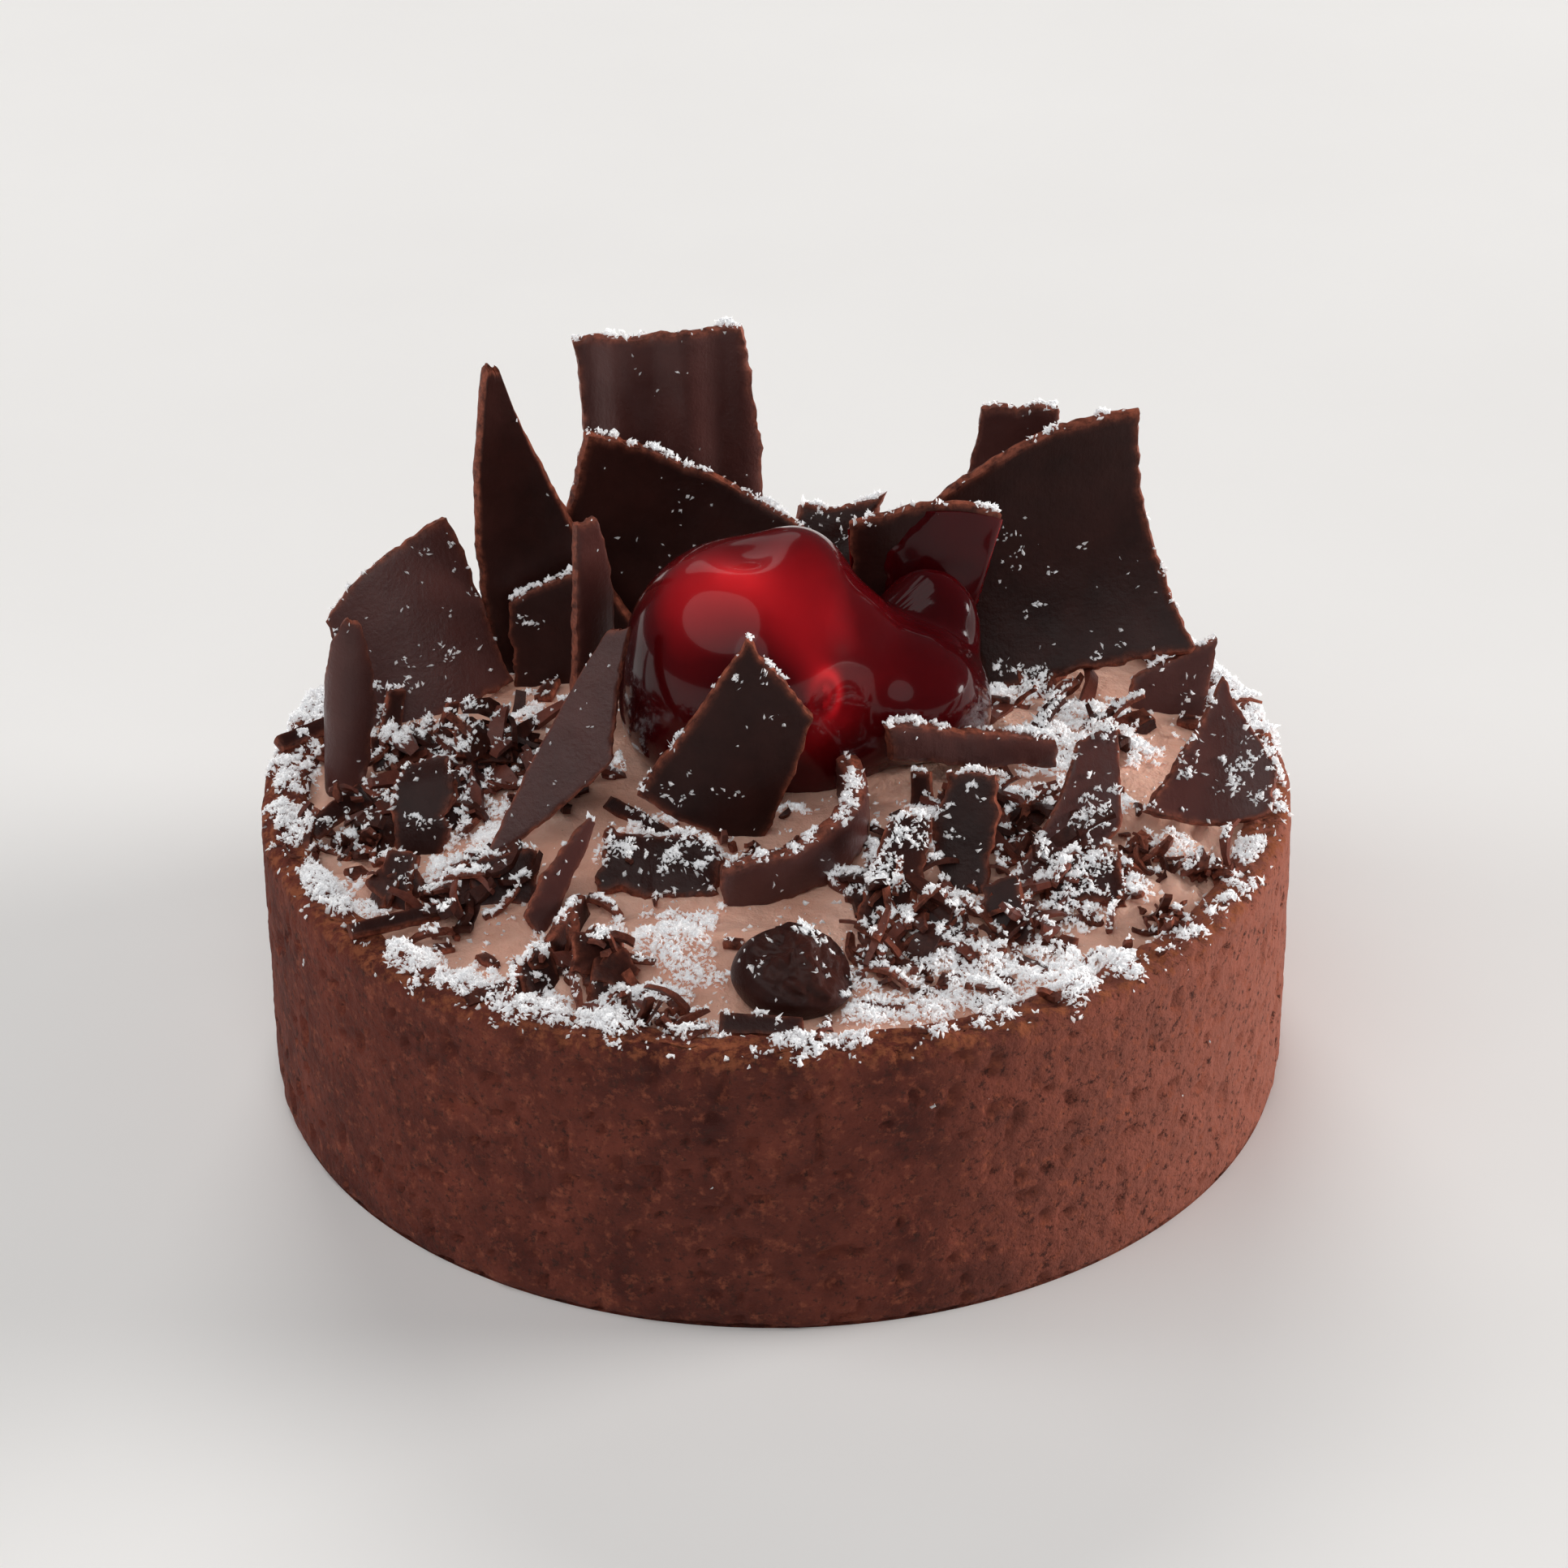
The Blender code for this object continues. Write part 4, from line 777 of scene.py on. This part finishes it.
def plate_mesh(plate, seed, cell=PLATE_CELL):
    """Points, faces, torn-edge weights and flat places of a broken plate of chocolate."""
    corners = np.array(plate["corners"], float)
    wide = max(np.linalg.norm(corners[1] - corners[0]), np.linalg.norm(corners[2] - corners[3]))
    high = max(np.linalg.norm(corners[3] - corners[0]), np.linalg.norm(corners[2] - corners[1]))
    columns, rows = (int(np.clip(round(size / cell), *PLATE_CELLS)) + 1 for size in (wide, high))
    amount = plate.get("tear", 1.0) * min(1, min(wide, high) / 3.5)
    s, t = np.meshgrid(np.linspace(0, 1, columns), np.linspace(0, 1, rows))
    s, t = s.ravel(), t.ravel()
    left, right = torn(t * high, seed, amount) / wide, torn(t * high, seed + 10, amount) / wide
    low, top = torn(s * wide, seed + 20, amount) / high, torn(s * wide, seed + 30, amount) / high
    flat = plate_flat(plate, left + (1 + right - left) * s, low + (1 + top - low) * t)
    middle = plate_bent(plate, flat)
    normal = grid_normals(middle, rows)
    inset = np.minimum(np.minimum(s, 1 - s) * wide, np.minimum(t, 1 - t) * high)
    half = plate["thick"] / 2
    spread = np.column_stack((flat, np.zeros(len(flat))))
    relief = plate.get("rough", 0.05)
    sink = 0.16 * half * (1 - blend_in(inset, 0, 0.5)) * (1 + smooth_noise(spread, 0.6, seed + 40))
    front = middle + normal * (half - sink + relief * fractal(spread, 2.4, 3, seed + 50))[:, None]
    back = middle - normal * (half - sink + relief * fractal(spread, 2.4, 3, seed + 60))[:, None]
    loop = outline(rows, columns)
    out = middle[loop] - middle[outline(rows, columns, 1)]
    out /= np.linalg.norm(out, axis=1)[:, None] + 1e-9
    layers = [front, back]
    steps = 3 if plate["thick"] < 1.4 else 5
    for step in range(1, steps):
        share = step / steps
        ragged = 0.10 * smooth_noise(middle[loop] + step * 3.7, 0.5, seed + 70 + step)
        stand = half * 0.25 * math.sin(math.pi * share) + amount * ragged
        layers.append(front[loop] * (1 - share) + back[loop] * share + out * stand[:, None])
    count, ring = rows * columns, len(loop)
    faces = slab_faces(rows, columns)
    strips = [loop] + [2 * count + k * ring + np.arange(ring) for k in range(steps - 1)] + [count + loop]
    for upper, lower in zip(strips, strips[1:]):
        faces += band_faces(upper, lower)
    # The edge weight is full on the broken sides and patchy in a band just inside them; the band is partly
    # painted highlight
    patchy = 0.5 + 0.5 * smooth_noise(spread, 1.1, seed + 80)
    band = 0.5 * min(1, min(wide, high) / 7)
    edge = np.where(inset < 0.01, 0.3 + band, band * patchy * (1 - blend_in(inset, 0.1, 0.6)))
    weights = np.concatenate((edge, edge, np.ones(ring * (steps - 1))))
    uv = np.concatenate((flat, flat) + (flat[loop],) * (steps - 1))
    return np.concatenate(layers), faces, weights, uv


def shattered(plate, seed, count):
    """Splinters that fill the place of a plate."""
    draw = random.Random(seed)
    corners = np.array(plate["corners"], float)
    low, high = corners.min(axis=0), corners.max(axis=0)
    size = high - low
    parts = []
    for k in range(count):
        spot = low + size * (0.22 + 0.56 * draw.random(), 0.22 + 0.56 * draw.random())
        long, short = draw.uniform(0.5, 0.8) * max(size), draw.uniform(0.25, 0.42) * min(size)
        corners = ((-long / 2, -short), (long / 2, -short * 0.7), (long / 2.4, short), (-long / 2.2, short))
        chip = dict(thick=draw.uniform(0.4, 0.75), tear=1.8, rough=0.09, curl=(draw.uniform(60, 120), 3.0),
                    corners=corners)
        points, faces, edge, _ = plate_mesh(chip, seed + 31 * k, CHIP_CELL)
        lean = Matrix.Rotation(draw.uniform(-0.5, 0.5), 3, "X")
        lean = lean @ Matrix.Rotation(draw.uniform(-0.4, 0.4), 3, "Y")
        swing = Matrix.Rotation(math.radians(draw.choice((70, 85, 100, 20)) + draw.uniform(-15, 15)), 3, "Z")
        points = points @ np.array(lean @ swing).T
        points += (*spot, draw.uniform(-0.3, 0.35) * plate["thick"])
        parts.append((points, faces, np.clip(edge + 0.1, 0, 1)))
    return joined(parts)


def make_shards():
    """Every shard, stick, block and curl, each in its own piece."""
    dark = chocolate_material("chocolate_dark", (0.020, 0.0056, 0.0044), (0.042, 0.0122, 0.0096), 0.2)
    # Painted sheen: the paler copy of the chocolate, for the shards that catch the light
    painted_sheen = chocolate_material("chocolate_painted_sheen", (0.068, 0.021, 0.018), (0.100, 0.034, 0.029), 0.4)
    for number, (name, plate) in enumerate(SHARDS.items()):
        points, faces, edge, uv = plate_mesh(plate, 100 * (number + 1))
        if name in SHATTERED:
            points, faces, edge = joined([(points * (0.9, 0.9, 0.7), faces, edge),
                                          shattered(plate, number, SHATTERED[name])])
            uv = points[:, :2]
        axes, foot = plate_frame(plate)
        add_piece(name + "_look", points @ axes + foot, faces, painted_sheen if name in PAINTED_SHEEN_SHARDS else dark,
                  (name,), edge, uv, sharp=42)
    return dark


def flake_places(draw):
    """Where the flakes lie: the ones seen from the front, and then random ones behind."""
    yield from FLAKES
    for _ in range(FLAKE_TRIES):
        radius, angle = FLAKE_REACH * math.sqrt(draw.random()), draw.uniform(0, math.pi)
        x, y = radius * math.cos(angle), radius * math.sin(angle)
        if y > FLAKE_FRONT:
            yield x, y, draw.uniform(0, 180), draw.uniform(*FLAKE_LENGTH), draw.uniform(*FLAKE_WIDTH)


def mesh_tree(mesh):
    """A mesh's surface, in mm."""
    return BVHTree.FromPolygons([v.co / MM for v in mesh.vertices], [p.vertices for p in mesh.polygons])


def make_flakes(material):
    """The small flakes on the cream, in the places where the solid has them."""
    near = [mesh_tree(node.data) for name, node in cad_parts.items() if name not in ("crust", "cream")]
    draw = random.Random(FLAKE_SEED)
    placed, parts = [], []
    for x, y, heading, length, width in flake_places(draw):
        if len(placed) == len(FLAKES) + SPARE_FLAKES:
            break
        foot = Vector((x, y, cream_height(x, y) + 0.15 * FLAKE_THICK))
        tip = Matrix.Rotation(draw.uniform(-0.3, 0.3), 4, "X")
        turn = Matrix.Translation(foot) @ Matrix.Rotation(math.radians(heading), 4, "Z") @ tip
        box = bmesh.new()
        bmesh.ops.create_cube(box, size=1)
        sizes = (length, width, FLAKE_THICK)
        points = [turn @ Vector(c * s * draw.uniform(0.8, 1.1) for c, s in zip(v.co, sizes))
                  for v in box.verts]
        sides = BVHTree.FromPolygons(points, [[v.index for v in f.verts] for f in box.faces])
        box.free()
        crowded = any((foot - other).length < size + length / 2 for other, size in placed)
        if crowded or any(tree.find_nearest(p, FLAKE_CLEAR)[0] for tree in near for p in points + [foot]):
            continue
        if any(tree.overlap(sides) for tree in near):
            continue
        placed.append((foot, length / 2))
        a, b = length * 0.47, width * 0.47
        chip = dict(at=(x, y), turn=heading, lean=90 - math.degrees(tip.to_euler().x),
                    thick=FLAKE_THICK * 0.8, tear=2.2, rough=0.10,
                    corners=((-a, -b), (a, -b * 0.8), (a * 0.8, b), (-a, b)))
        axes, _ = plate_frame(chip)
        points, faces, edge, _ = plate_mesh(chip, 9000 + 37 * len(placed), CHIP_CELL)
        parts.append((points @ axes + np.array(foot) + (0, 0, 0.12), faces, np.clip(edge + 0.3, 0, 1)))
    points, faces, edge = joined(parts)
    add_piece("flakes_look", points, faces, material, (), edge, sharp=42)


def make_drop(material):
    """The round drop, smooth at its side and rough where it broke."""
    rows, columns = 60, 110
    rise = np.linspace(-math.pi / 2 + 0.02, math.pi / 2 - 0.02, rows)
    ball, _, _ = lathe(np.column_stack((np.cos(rise), np.sin(rise))), columns)
    points = ball * DROP["half"]
    slope = np.array((1, 0, 0.75)) / math.hypot(1, 0.75)
    over = np.maximum(points @ slope - DROP["broken_at"], 0)
    crags = np.maximum(blend_in(over, 0, 0.3), blend_in(ball[:, 2] + 0.5 * ball[:, 0], 0.25, 0.5))
    points -= slope * over[:, None]
    relief = 0.06 * fractal(points, 2, 2, 3) + crags * (0.45 * fractal(points, 0.9, 4, 4) - 0.18)
    points += ball * relief[:, None]
    lean = math.radians(DROP["tip"])
    cos, sin = math.cos(lean), math.sin(lean)
    points = points @ np.array(((1, 0, 0), (0, cos, sin), (0, -sin, cos)))
    x, y = DROP["at"]
    points += (x, y, cream_height(x, y) + DROP["lift"])
    faces = turned_faces(rows, columns)
    add_piece("drop_look", points, faces, material, ("drop_front",), edge=0.06 * crags)


def cherry_distance(points):
    """Roughly how far points are outside the cherry's surface."""
    total = np.zeros(len(points))
    for lobe in CHERRY_LOBES:
        offset = (points - lobe["centre"]) / lobe["half"]
        share = np.linalg.norm(offset, axis=1)
        steep = np.linalg.norm(offset / lobe["half"], axis=1)
        total += np.exp(-share * (share - 1) / (steep + 1e-6) / CHERRY_BLEND)
    nearness = np.linalg.norm(points - CHERRY_DIMPLE["at"], axis=1) / CHERRY_DIMPLE["spread"]
    return CHERRY_DIMPLE["depth"] * np.exp(-(nearness**2)) - CHERRY_BLEND * np.log(total + 1e-300)


def make_cherry():
    """The glazed cherry, with the glaze round its foot, and the film of glaze on the shard behind it."""
    ball = bmesh.new()
    bmesh.ops.create_icosphere(ball, subdivisions=CHERRY_DETAIL, radius=1)
    directions = np.array([v.co.normalized() for v in ball.verts])
    faces = [[v.index for v in f.verts] for f in ball.faces]
    ball.free()
    hub = np.array(CHERRY_HUB)
    near, far = np.zeros(len(directions)), np.full(len(directions), float(CHERRY_REACH))
    for _ in range(CHERRY_HALVINGS):
        middle = (near + far) / 2
        inside = cherry_distance(hub + directions * middle[:, None]) < 0
        near, far = np.where(inside, middle, near), np.where(inside, far, middle)
    points = hub + directions * near[:, None]
    # Painted light and shade: darker towards the far left, and a little darker towards the right
    painted_light = 0.20 * blend_in(points[:, 0], -10.2, -6.0) * (1 - 0.6 * blend_in(points[:, 0], 6, 11))
    # Painted light: bright places where light would shine through the cherry
    for spot, reach, strength in CHERRY_PAINTED_LIGHTS:
        painted_light += strength * np.exp(-(((points - spot) / reach) ** 2).sum(axis=1))
    # A painted streak of light
    start, end = (np.array(end) for end in CHERRY_PAINTED_STREAK["ends"])
    share = np.clip((points - start) @ (end - start) / ((end - start) @ (end - start)), 0, 1)
    away = np.linalg.norm(points - start - share[:, None] * (end - start), axis=1)
    painted_light += CHERRY_PAINTED_STREAK["strength"] * np.exp(-((away / CHERRY_PAINTED_STREAK["width"]) ** 2))
    # A painted ring of light round the pit, brighter on its lit side, with a lit core
    offset = (points - CHERRY_PIT_PAINTED_LIGHT["at"]) / CHERRY_PIT_PAINTED_LIGHT["half"]
    away = np.linalg.norm(offset, axis=1)
    lit = blend_in(offset[:, 0] + 0.3 * offset[:, 2], -0.7, 0.8)
    arc = np.exp(-(((away - 1) / 0.30) ** 2)) * (0.25 + 0.75 * lit)
    core = np.exp(-(((away - 0.35) / 0.2) ** 2)) * (offset[:, 0] > -0.1)
    painted_light += CHERRY_PIT_PAINTED_LIGHT["strength"] * (arc + 0.5 * core)
    # The edge weight here carries the painted light
    add_piece("cherry_look", points, faces, cherry_material("cherry_glazed", 0.75), ("cherry",),
              edge=np.clip(painted_light, 0, 1), caster=False)
    make_glaze_film()


def make_glaze_film():
    """The film of glaze that climbs the shard behind the cherry. It dips into the shard where it ends."""
    plate = SHARDS["shard_glazed"]
    columns, rows = 80, 94
    s, t = np.meshgrid(np.linspace(0.0, 0.995, columns), np.linspace(0.3, 0.985, rows))
    flat = plate_flat(plate, s.ravel(), t.ravel())
    ragged = 0.35 * fractal(flat, 1.6, 3, 81)
    x, y = flat[:, 0], flat[:, 1]
    inside = np.minimum(x + 3.4, 0.66 * (x + 3.1) - 0.75 * (y - 11.8)) + ragged
    inside = np.minimum(inside, (1 - s.ravel()) * 9 + 0.15)
    depth = 0.16 + 0.5 * np.exp(-(((x + 0.2) / 3.2) ** 2) - ((y - 8.6) / 2.6) ** 2)
    height = blend_in(inside, -0.3, 0.5) * (depth + 0.12 + 0.05 * smooth_noise(flat, 1.8, 82)) - 0.12
    middle = plate_bent(plate, flat)
    face = middle + grid_normals(middle, rows) * (plate["thick"] / 2 + height)[:, None]
    points = np.concatenate((face, middle))
    loop = outline(rows, columns)
    faces = slab_faces(rows, columns) + band_faces(loop, loop + rows * columns)
    axes, foot = plate_frame(plate)
    # Painted light in the thin film, a little brighter towards its top
    painted_light = np.tile(0.04 + 0.10 * blend_in(y, 9, 13), 2)
    add_piece("glaze_film", points @ axes + foot, faces, cherry_material("glaze_thin", 0.4),
              edge=painted_light, sharp=60, caster=False)


# Sugar and crumbs

def sugar_depth(x, y):
    """How deep sugar lies over places, from 0 to 1. In front it leaves the outer edge of the rim bare."""
    flat = np.column_stack((x, y))
    radius = np.hypot(x, y)
    amount = np.full(len(x), SUGAR_BETWEEN)
    for dx, dy, reach, strength in DRIFTS:
        amount = np.maximum(amount, strength * np.exp(-((x - dx) ** 2 + (y - dy) ** 2) / reach**2 / 1.2))
    rim = blend_in(radius, INNER_RADIUS - 1.2, INNER_RADIUS + 0.4)
    rim *= 1 - blend_in(radius, TART_RADIUS - 0.5, TART_RADIUS)
    amount = np.maximum(amount, rim * (SUGAR_ON_RIM + SUGAR_BEHIND * blend_in(y, -6, 10)))
    outer = blend_in(radius, TART_RADIUS - 1.7, TART_RADIUS - 0.7) * (1 - blend_in(y, -10, 4))
    amount *= 1 - SUGAR_OFF_EDGE * outer
    clumps = fractal(flat, 1.7, 3, 71) * 0.95 + 0.35 * smooth_noise(flat, 0.5, 72)
    return np.clip(1.1 * amount + 0.55 * clumps - 0.40, 0, 1)


def crystals(centres, sizes, seed):
    """Points and faces of rough, longish crystals."""
    draw = np.random.default_rng(seed)
    count = len(centres)
    base = np.array(((1.7, 0, 0), (-1.5, 0, 0), (0, 1.1, 0), (0, -1, 0), (0, 0, 0.5), (0, 0, -0.5)))
    base = base[None] * draw.uniform(0.5, 1.3, (count, 6, 1)) + draw.normal(0, 0.22, (count, 6, 3))
    spin = draw.normal(0, 1, (count, 4))
    w, x, y, z = (spin / np.linalg.norm(spin, axis=1)[:, None]).T
    turn = np.array(((1 - 2 * (y * y + z * z), 2 * (x * y - w * z), 2 * (x * z + w * y)),
                     (2 * (x * y + w * z), 1 - 2 * (x * x + z * z), 2 * (y * z - w * x)),
                     (2 * (x * z - w * y), 2 * (y * z + w * x), 1 - 2 * (x * x + y * y)))).transpose(2, 0, 1)
    points = np.einsum("nij,nkj->nki", turn, base) * sizes[:, None, None] + centres[:, None]
    octa = np.array(((0, 2, 4), (2, 1, 4), (1, 3, 4), (3, 0, 4), (2, 0, 5), (1, 2, 5), (3, 1, 5), (0, 3, 5)))
    faces = octa[None] + (np.arange(count) * 6)[:, None, None]
    return points.reshape(-1, 3), faces.reshape(-1, 3)


def sliver(length, width, thick, draw):
    """Points and faces of a thin, bent shaving of chocolate."""
    bend, twist = draw.uniform(-0.25, 0.25) * length, draw.uniform(-0.7, 0.7)
    points = []
    for k in range(5):
        along = (k / 4 - 0.5) * length
        taper = (1 - 0.75 * abs(k / 4 - draw.uniform(0.3, 0.7))) * draw.uniform(0.75, 1.15)
        rise = bend * (1 - (2 * k / 4 - 1) ** 2)
        turn = twist * (k / 4 - 0.5)
        for a, b in ((-1, -1), (1, -1), (1, 1), (-1, 1)):
            y, z = a * width / 2 * taper, b * thick / 2 * draw.uniform(0.7, 1.2)
            points.append((along + draw.uniform(-0.06, 0.06), y * math.cos(turn) - z * math.sin(turn),
                           y * math.sin(turn) + z * math.cos(turn) + rise))
    faces = [(3, 2, 1, 0), (16, 17, 18, 19)]
    for k in range(4):
        for i in range(4):
            j = (i + 1) % 4
            faces.append((4 * k + i, 4 * k + j, 4 * k + 4 + j, 4 * k + 4 + i))
    return np.array(points), faces


def landed(places):
    """Where things dropped at (x, y) places land off the cherry: index, point, normal and face of each."""
    down = Vector((0, 0, -1))
    points, faces, _ = joined([shape[1:] for shape in shapes])
    tree = BVHTree.FromPolygons(points.tolist(), faces)
    fruit = mesh_tree(bpy.data.objects["cherry_look"].data)
    found = []
    for i, (x, y) in enumerate(places):
        above = Vector((x, y, DROP_HEIGHT))
        place, normal, face, _ = tree.ray_cast(above, down)
        if place is None:
            continue
        crown = fruit.ray_cast(above, down)[0]
        if crown is None or crown.z < place.z - 0.2:
            found.append((i, *place, *normal, face))
    return np.array(found)


def dropped(row, length, width, thick, pitch, draw):
    """A shaving where it came down: its points and its faces."""
    points, faces = sliver(length, width, thick, draw)
    turn = (Matrix.Rotation(draw.uniform(0, 2 * math.pi), 3, "Z") @ Matrix.Rotation(pitch, 3, "Y")
            @ Matrix.Rotation(draw.gauss(0, 0.5), 3, "X"))
    lift = 0.5 * thick + 0.35 * abs(math.sin(pitch)) * length
    return points @ np.array(turn).T + row[1:4] + (0, 0, lift), faces


def strew_crumbs(material):
    """Crumbs and shavings of chocolate on the cream and the rim, thick near the broken shards."""
    draw = random.Random(CRUMB_SEED)
    spots = []
    while len(spots) < CRUMBS:
        if draw.random() < CRUMBS_IN_SPOTS:
            x, y, reach = draw.choice(CRUMB_SPOTS)
            x, y = draw.gauss(x, reach * SPOT_SPREAD), draw.gauss(y, reach * SPOT_SPREAD)
        else:
            radius, angle = CRUMB_SPREAD * math.sqrt(draw.random()), draw.uniform(0, 2 * math.pi)
            x, y = radius * math.cos(angle), radius * math.sin(angle)
        if math.hypot(x, y) < CRUMB_REACH:
            spots.append((x, y))
    for _ in range(SHAVINGS):
        x, y, reach = draw.choice(SHAVING_SPOTS)
        spots.append((draw.gauss(x, reach * SPOT_SPREAD), draw.gauss(y, reach * SPOT_SPREAD)))
    parts = ([], [])
    for row in landed(spots):
        if row[6] < CRUMB_LEVEL or row[3] > cream_height(row[1], row[2]) + CRUMB_CLIMB:
            continue
        if row[0] < CRUMBS:
            length = draw.uniform(*CRUMB_LENGTHS[draw.random() >= CRUMBS_SHORT])
            width, thick = draw.uniform(*CRUMB_WIDTHS) * (1 + 0.25 * length), draw.uniform(*CRUMB_THICKNESS)
            pitch = draw.gauss(0, 0.45)
        elif math.hypot(row[1], row[2]) < SHAVING_REACH:
            length, width, thick = (draw.uniform(*size) for size in SHAVING_SIZES)
            pitch = draw.uniform(-0.6, 0.6)
        else:
            continue
        points, faces = dropped(row, length, width, thick, pitch, draw)
        shade = draw.choice(CRUMB_SHADES) if row[0] < CRUMBS else SHAVING_SHADE
        parts[draw.random() < CRUMBS_RED].append((points, faces, np.full(len(points), shade)))
    red = chocolate_material("chocolate_red", (0.090, 0.022, 0.015), (0.170, 0.046, 0.031), 0.3)
    for name, shaded, finish in (("crumbs_dark", parts[0], material), ("crumbs_red", parts[1], red)):
        points, faces, edge = joined(shaded)
        add_piece(name, points, faces, finish, edge=edge, sharp=40)


def fall_sugar():
    """Drops sugar straight down on everything but the cherry."""
    draw = np.random.default_rng(SUGAR_SEED)
    radius = SUGAR_REACH * np.sqrt(draw.random(SUGAR_TRIES))
    angle = draw.uniform(0, 2 * np.pi, SUGAR_TRIES)
    flat = np.column_stack((radius * np.cos(angle), radius * np.sin(angle)))
    depth = sugar_depth(flat[:, 0], flat[:, 1])
    pick = draw.random(SUGAR_TRIES)
    named = np.concatenate([[number] * len(faces) for number, (_, _, faces, _) in enumerate(shapes)])
    torn_faces = np.concatenate([edge[[face[0] for face in faces]] for _, _, faces, edge in shapes])
    found = landed(flat)
    index, face = found[:, 0].astype(int), found[:, 7].astype(int)
    place, level = found[:, 1:4], np.abs(found[:, 6])
    depth, pick, owner = depth[index], pick[index], named[face]
    names = [shape[0] for shape in shapes]
    caught = np.array([SUGARED.get(name.removesuffix("_look"), SUGAR_USUAL) for name in names])[owner]
    on_crust, on_cream = owner == names.index("crust_look"), owner == names.index("cream_look")
    on_shard = ~(on_crust | on_cream)
    clumps = 0.85 * fractal(place, 1.6, 3, 91) + 0.25 * smooth_noise(place, 0.5, 92)
    ragged = torn_faces[face] > 0.5
    caught_here = caught * level**1.5 * np.where(ragged, CAUGHT_BY_EDGES, CAUGHT_BY_FACES)
    shard_depth = np.clip(caught_here + clumps + 0.35 * depth - SUGAR_SLIDES, 0, SUGAR_STAYS)
    depth = np.where(on_shard, shard_depth, depth)
    specks = np.where(on_shard, 0.012 * (0.3 + caught), SUGAR_SPECKS)
    kept = pick < np.maximum(np.clip(3 * depth, 0, 1) * 0.92, specks)
    heap = SUGAR_HEAP * depth**0.8 * np.where(on_shard, 0.6, 1)
    share = draw.random(len(place))
    place[:, 2] += heap * (1 - 0.6 * share**2) + 0.03
    place[:, :2] += draw.normal(0, SUGAR_SCATTER, (len(place), 2))
    material = sugar_material()
    for seed, (name, chosen) in enumerate((("sugar_rim", on_crust), ("sugar_cream", on_cream),
                                           ("sugar_shards", on_shard))):
        centres = place[kept & chosen][:SUGAR_MOST]
        sizes = np.clip(SUGAR_SIZE * np.exp(draw.normal(0, 0.32, len(centres))), *SUGAR_SIZES)
        points, faces = crystals(centres, sizes, seed)
        add_piece(name, points, faces, material, caster=False, smooth=False)


# The floor, the lights and the camera

def make_stage():
    """The pale floor and the soft light of a studio."""
    far = FLOOR_HALF
    mesh = bpy.data.meshes.new("floor")
    mesh.from_pydata([(-far, -far, 0), (far, -far, 0), (far, far, 0), (-far, far, 0)], [], [(0, 1, 2, 3)])
    mesh.materials.append(floor_material())
    floor = linked(bpy.data.objects.new("floor", mesh))
    world = bpy.data.worlds.new("studio")
    world.use_nodes = True
    light = world.node_tree.nodes["Background"].inputs
    light["Color"].default_value, light["Strength"].default_value = WORLD_COLOUR, WORLD_LIGHT
    bpy.context.scene.world = world
    for name, place, size, power, colour, mirrored in LIGHTS:
        light = bpy.data.lights.new(name, "AREA")
        light.shape = "ELLIPSE"
        light.size, light.size_y = size
        light.energy = power
        light.color = colour
        made = linked(bpy.data.objects.new(name, light))
        made.visible_glossy = mirrored
        made.location = place
        made.rotation_euler = (Vector(LIGHTS_AIM) - Vector(place)).to_track_quat("-Z", "Y").to_euler()


def make_camera():
    """The camera of the photo."""
    tilt, roll = math.radians(CAMERA["tilt"]), math.radians(CAMERA["roll"])
    forward = Vector((0, math.cos(tilt), -math.sin(tilt)))
    side = Vector((1, 0, 0))
    rise = side.cross(forward)
    across = side * math.cos(roll) + rise * math.sin(roll)
    up = -side * math.sin(roll) + rise * math.cos(roll)
    camera = bpy.data.cameras.new("camera")
    camera.sensor_width = SENSOR
    camera.lens = SENSOR * CAMERA["focal"] / CAMERA["frame"]
    camera.clip_start, camera.clip_end = 0.01, 10
    made = linked(bpy.data.objects.new("camera", camera))
    place = (Vector(CAMERA["aim"]) - forward * CAMERA["distance"]) * MM
    made.matrix_world = Matrix.Translation(place) @ Matrix((across, up, -forward)).transposed().to_4x4()
    bpy.context.scene.camera = made


make_camera()
make_stage()
bpy.context.scene.view_settings.view_transform = "Standard"
make_crust()
make_cream()
chocolate = make_shards()
make_flakes(chocolate)
make_drop(chocolate)
make_cherry()
strew_crumbs(chocolate)
fall_sugar()
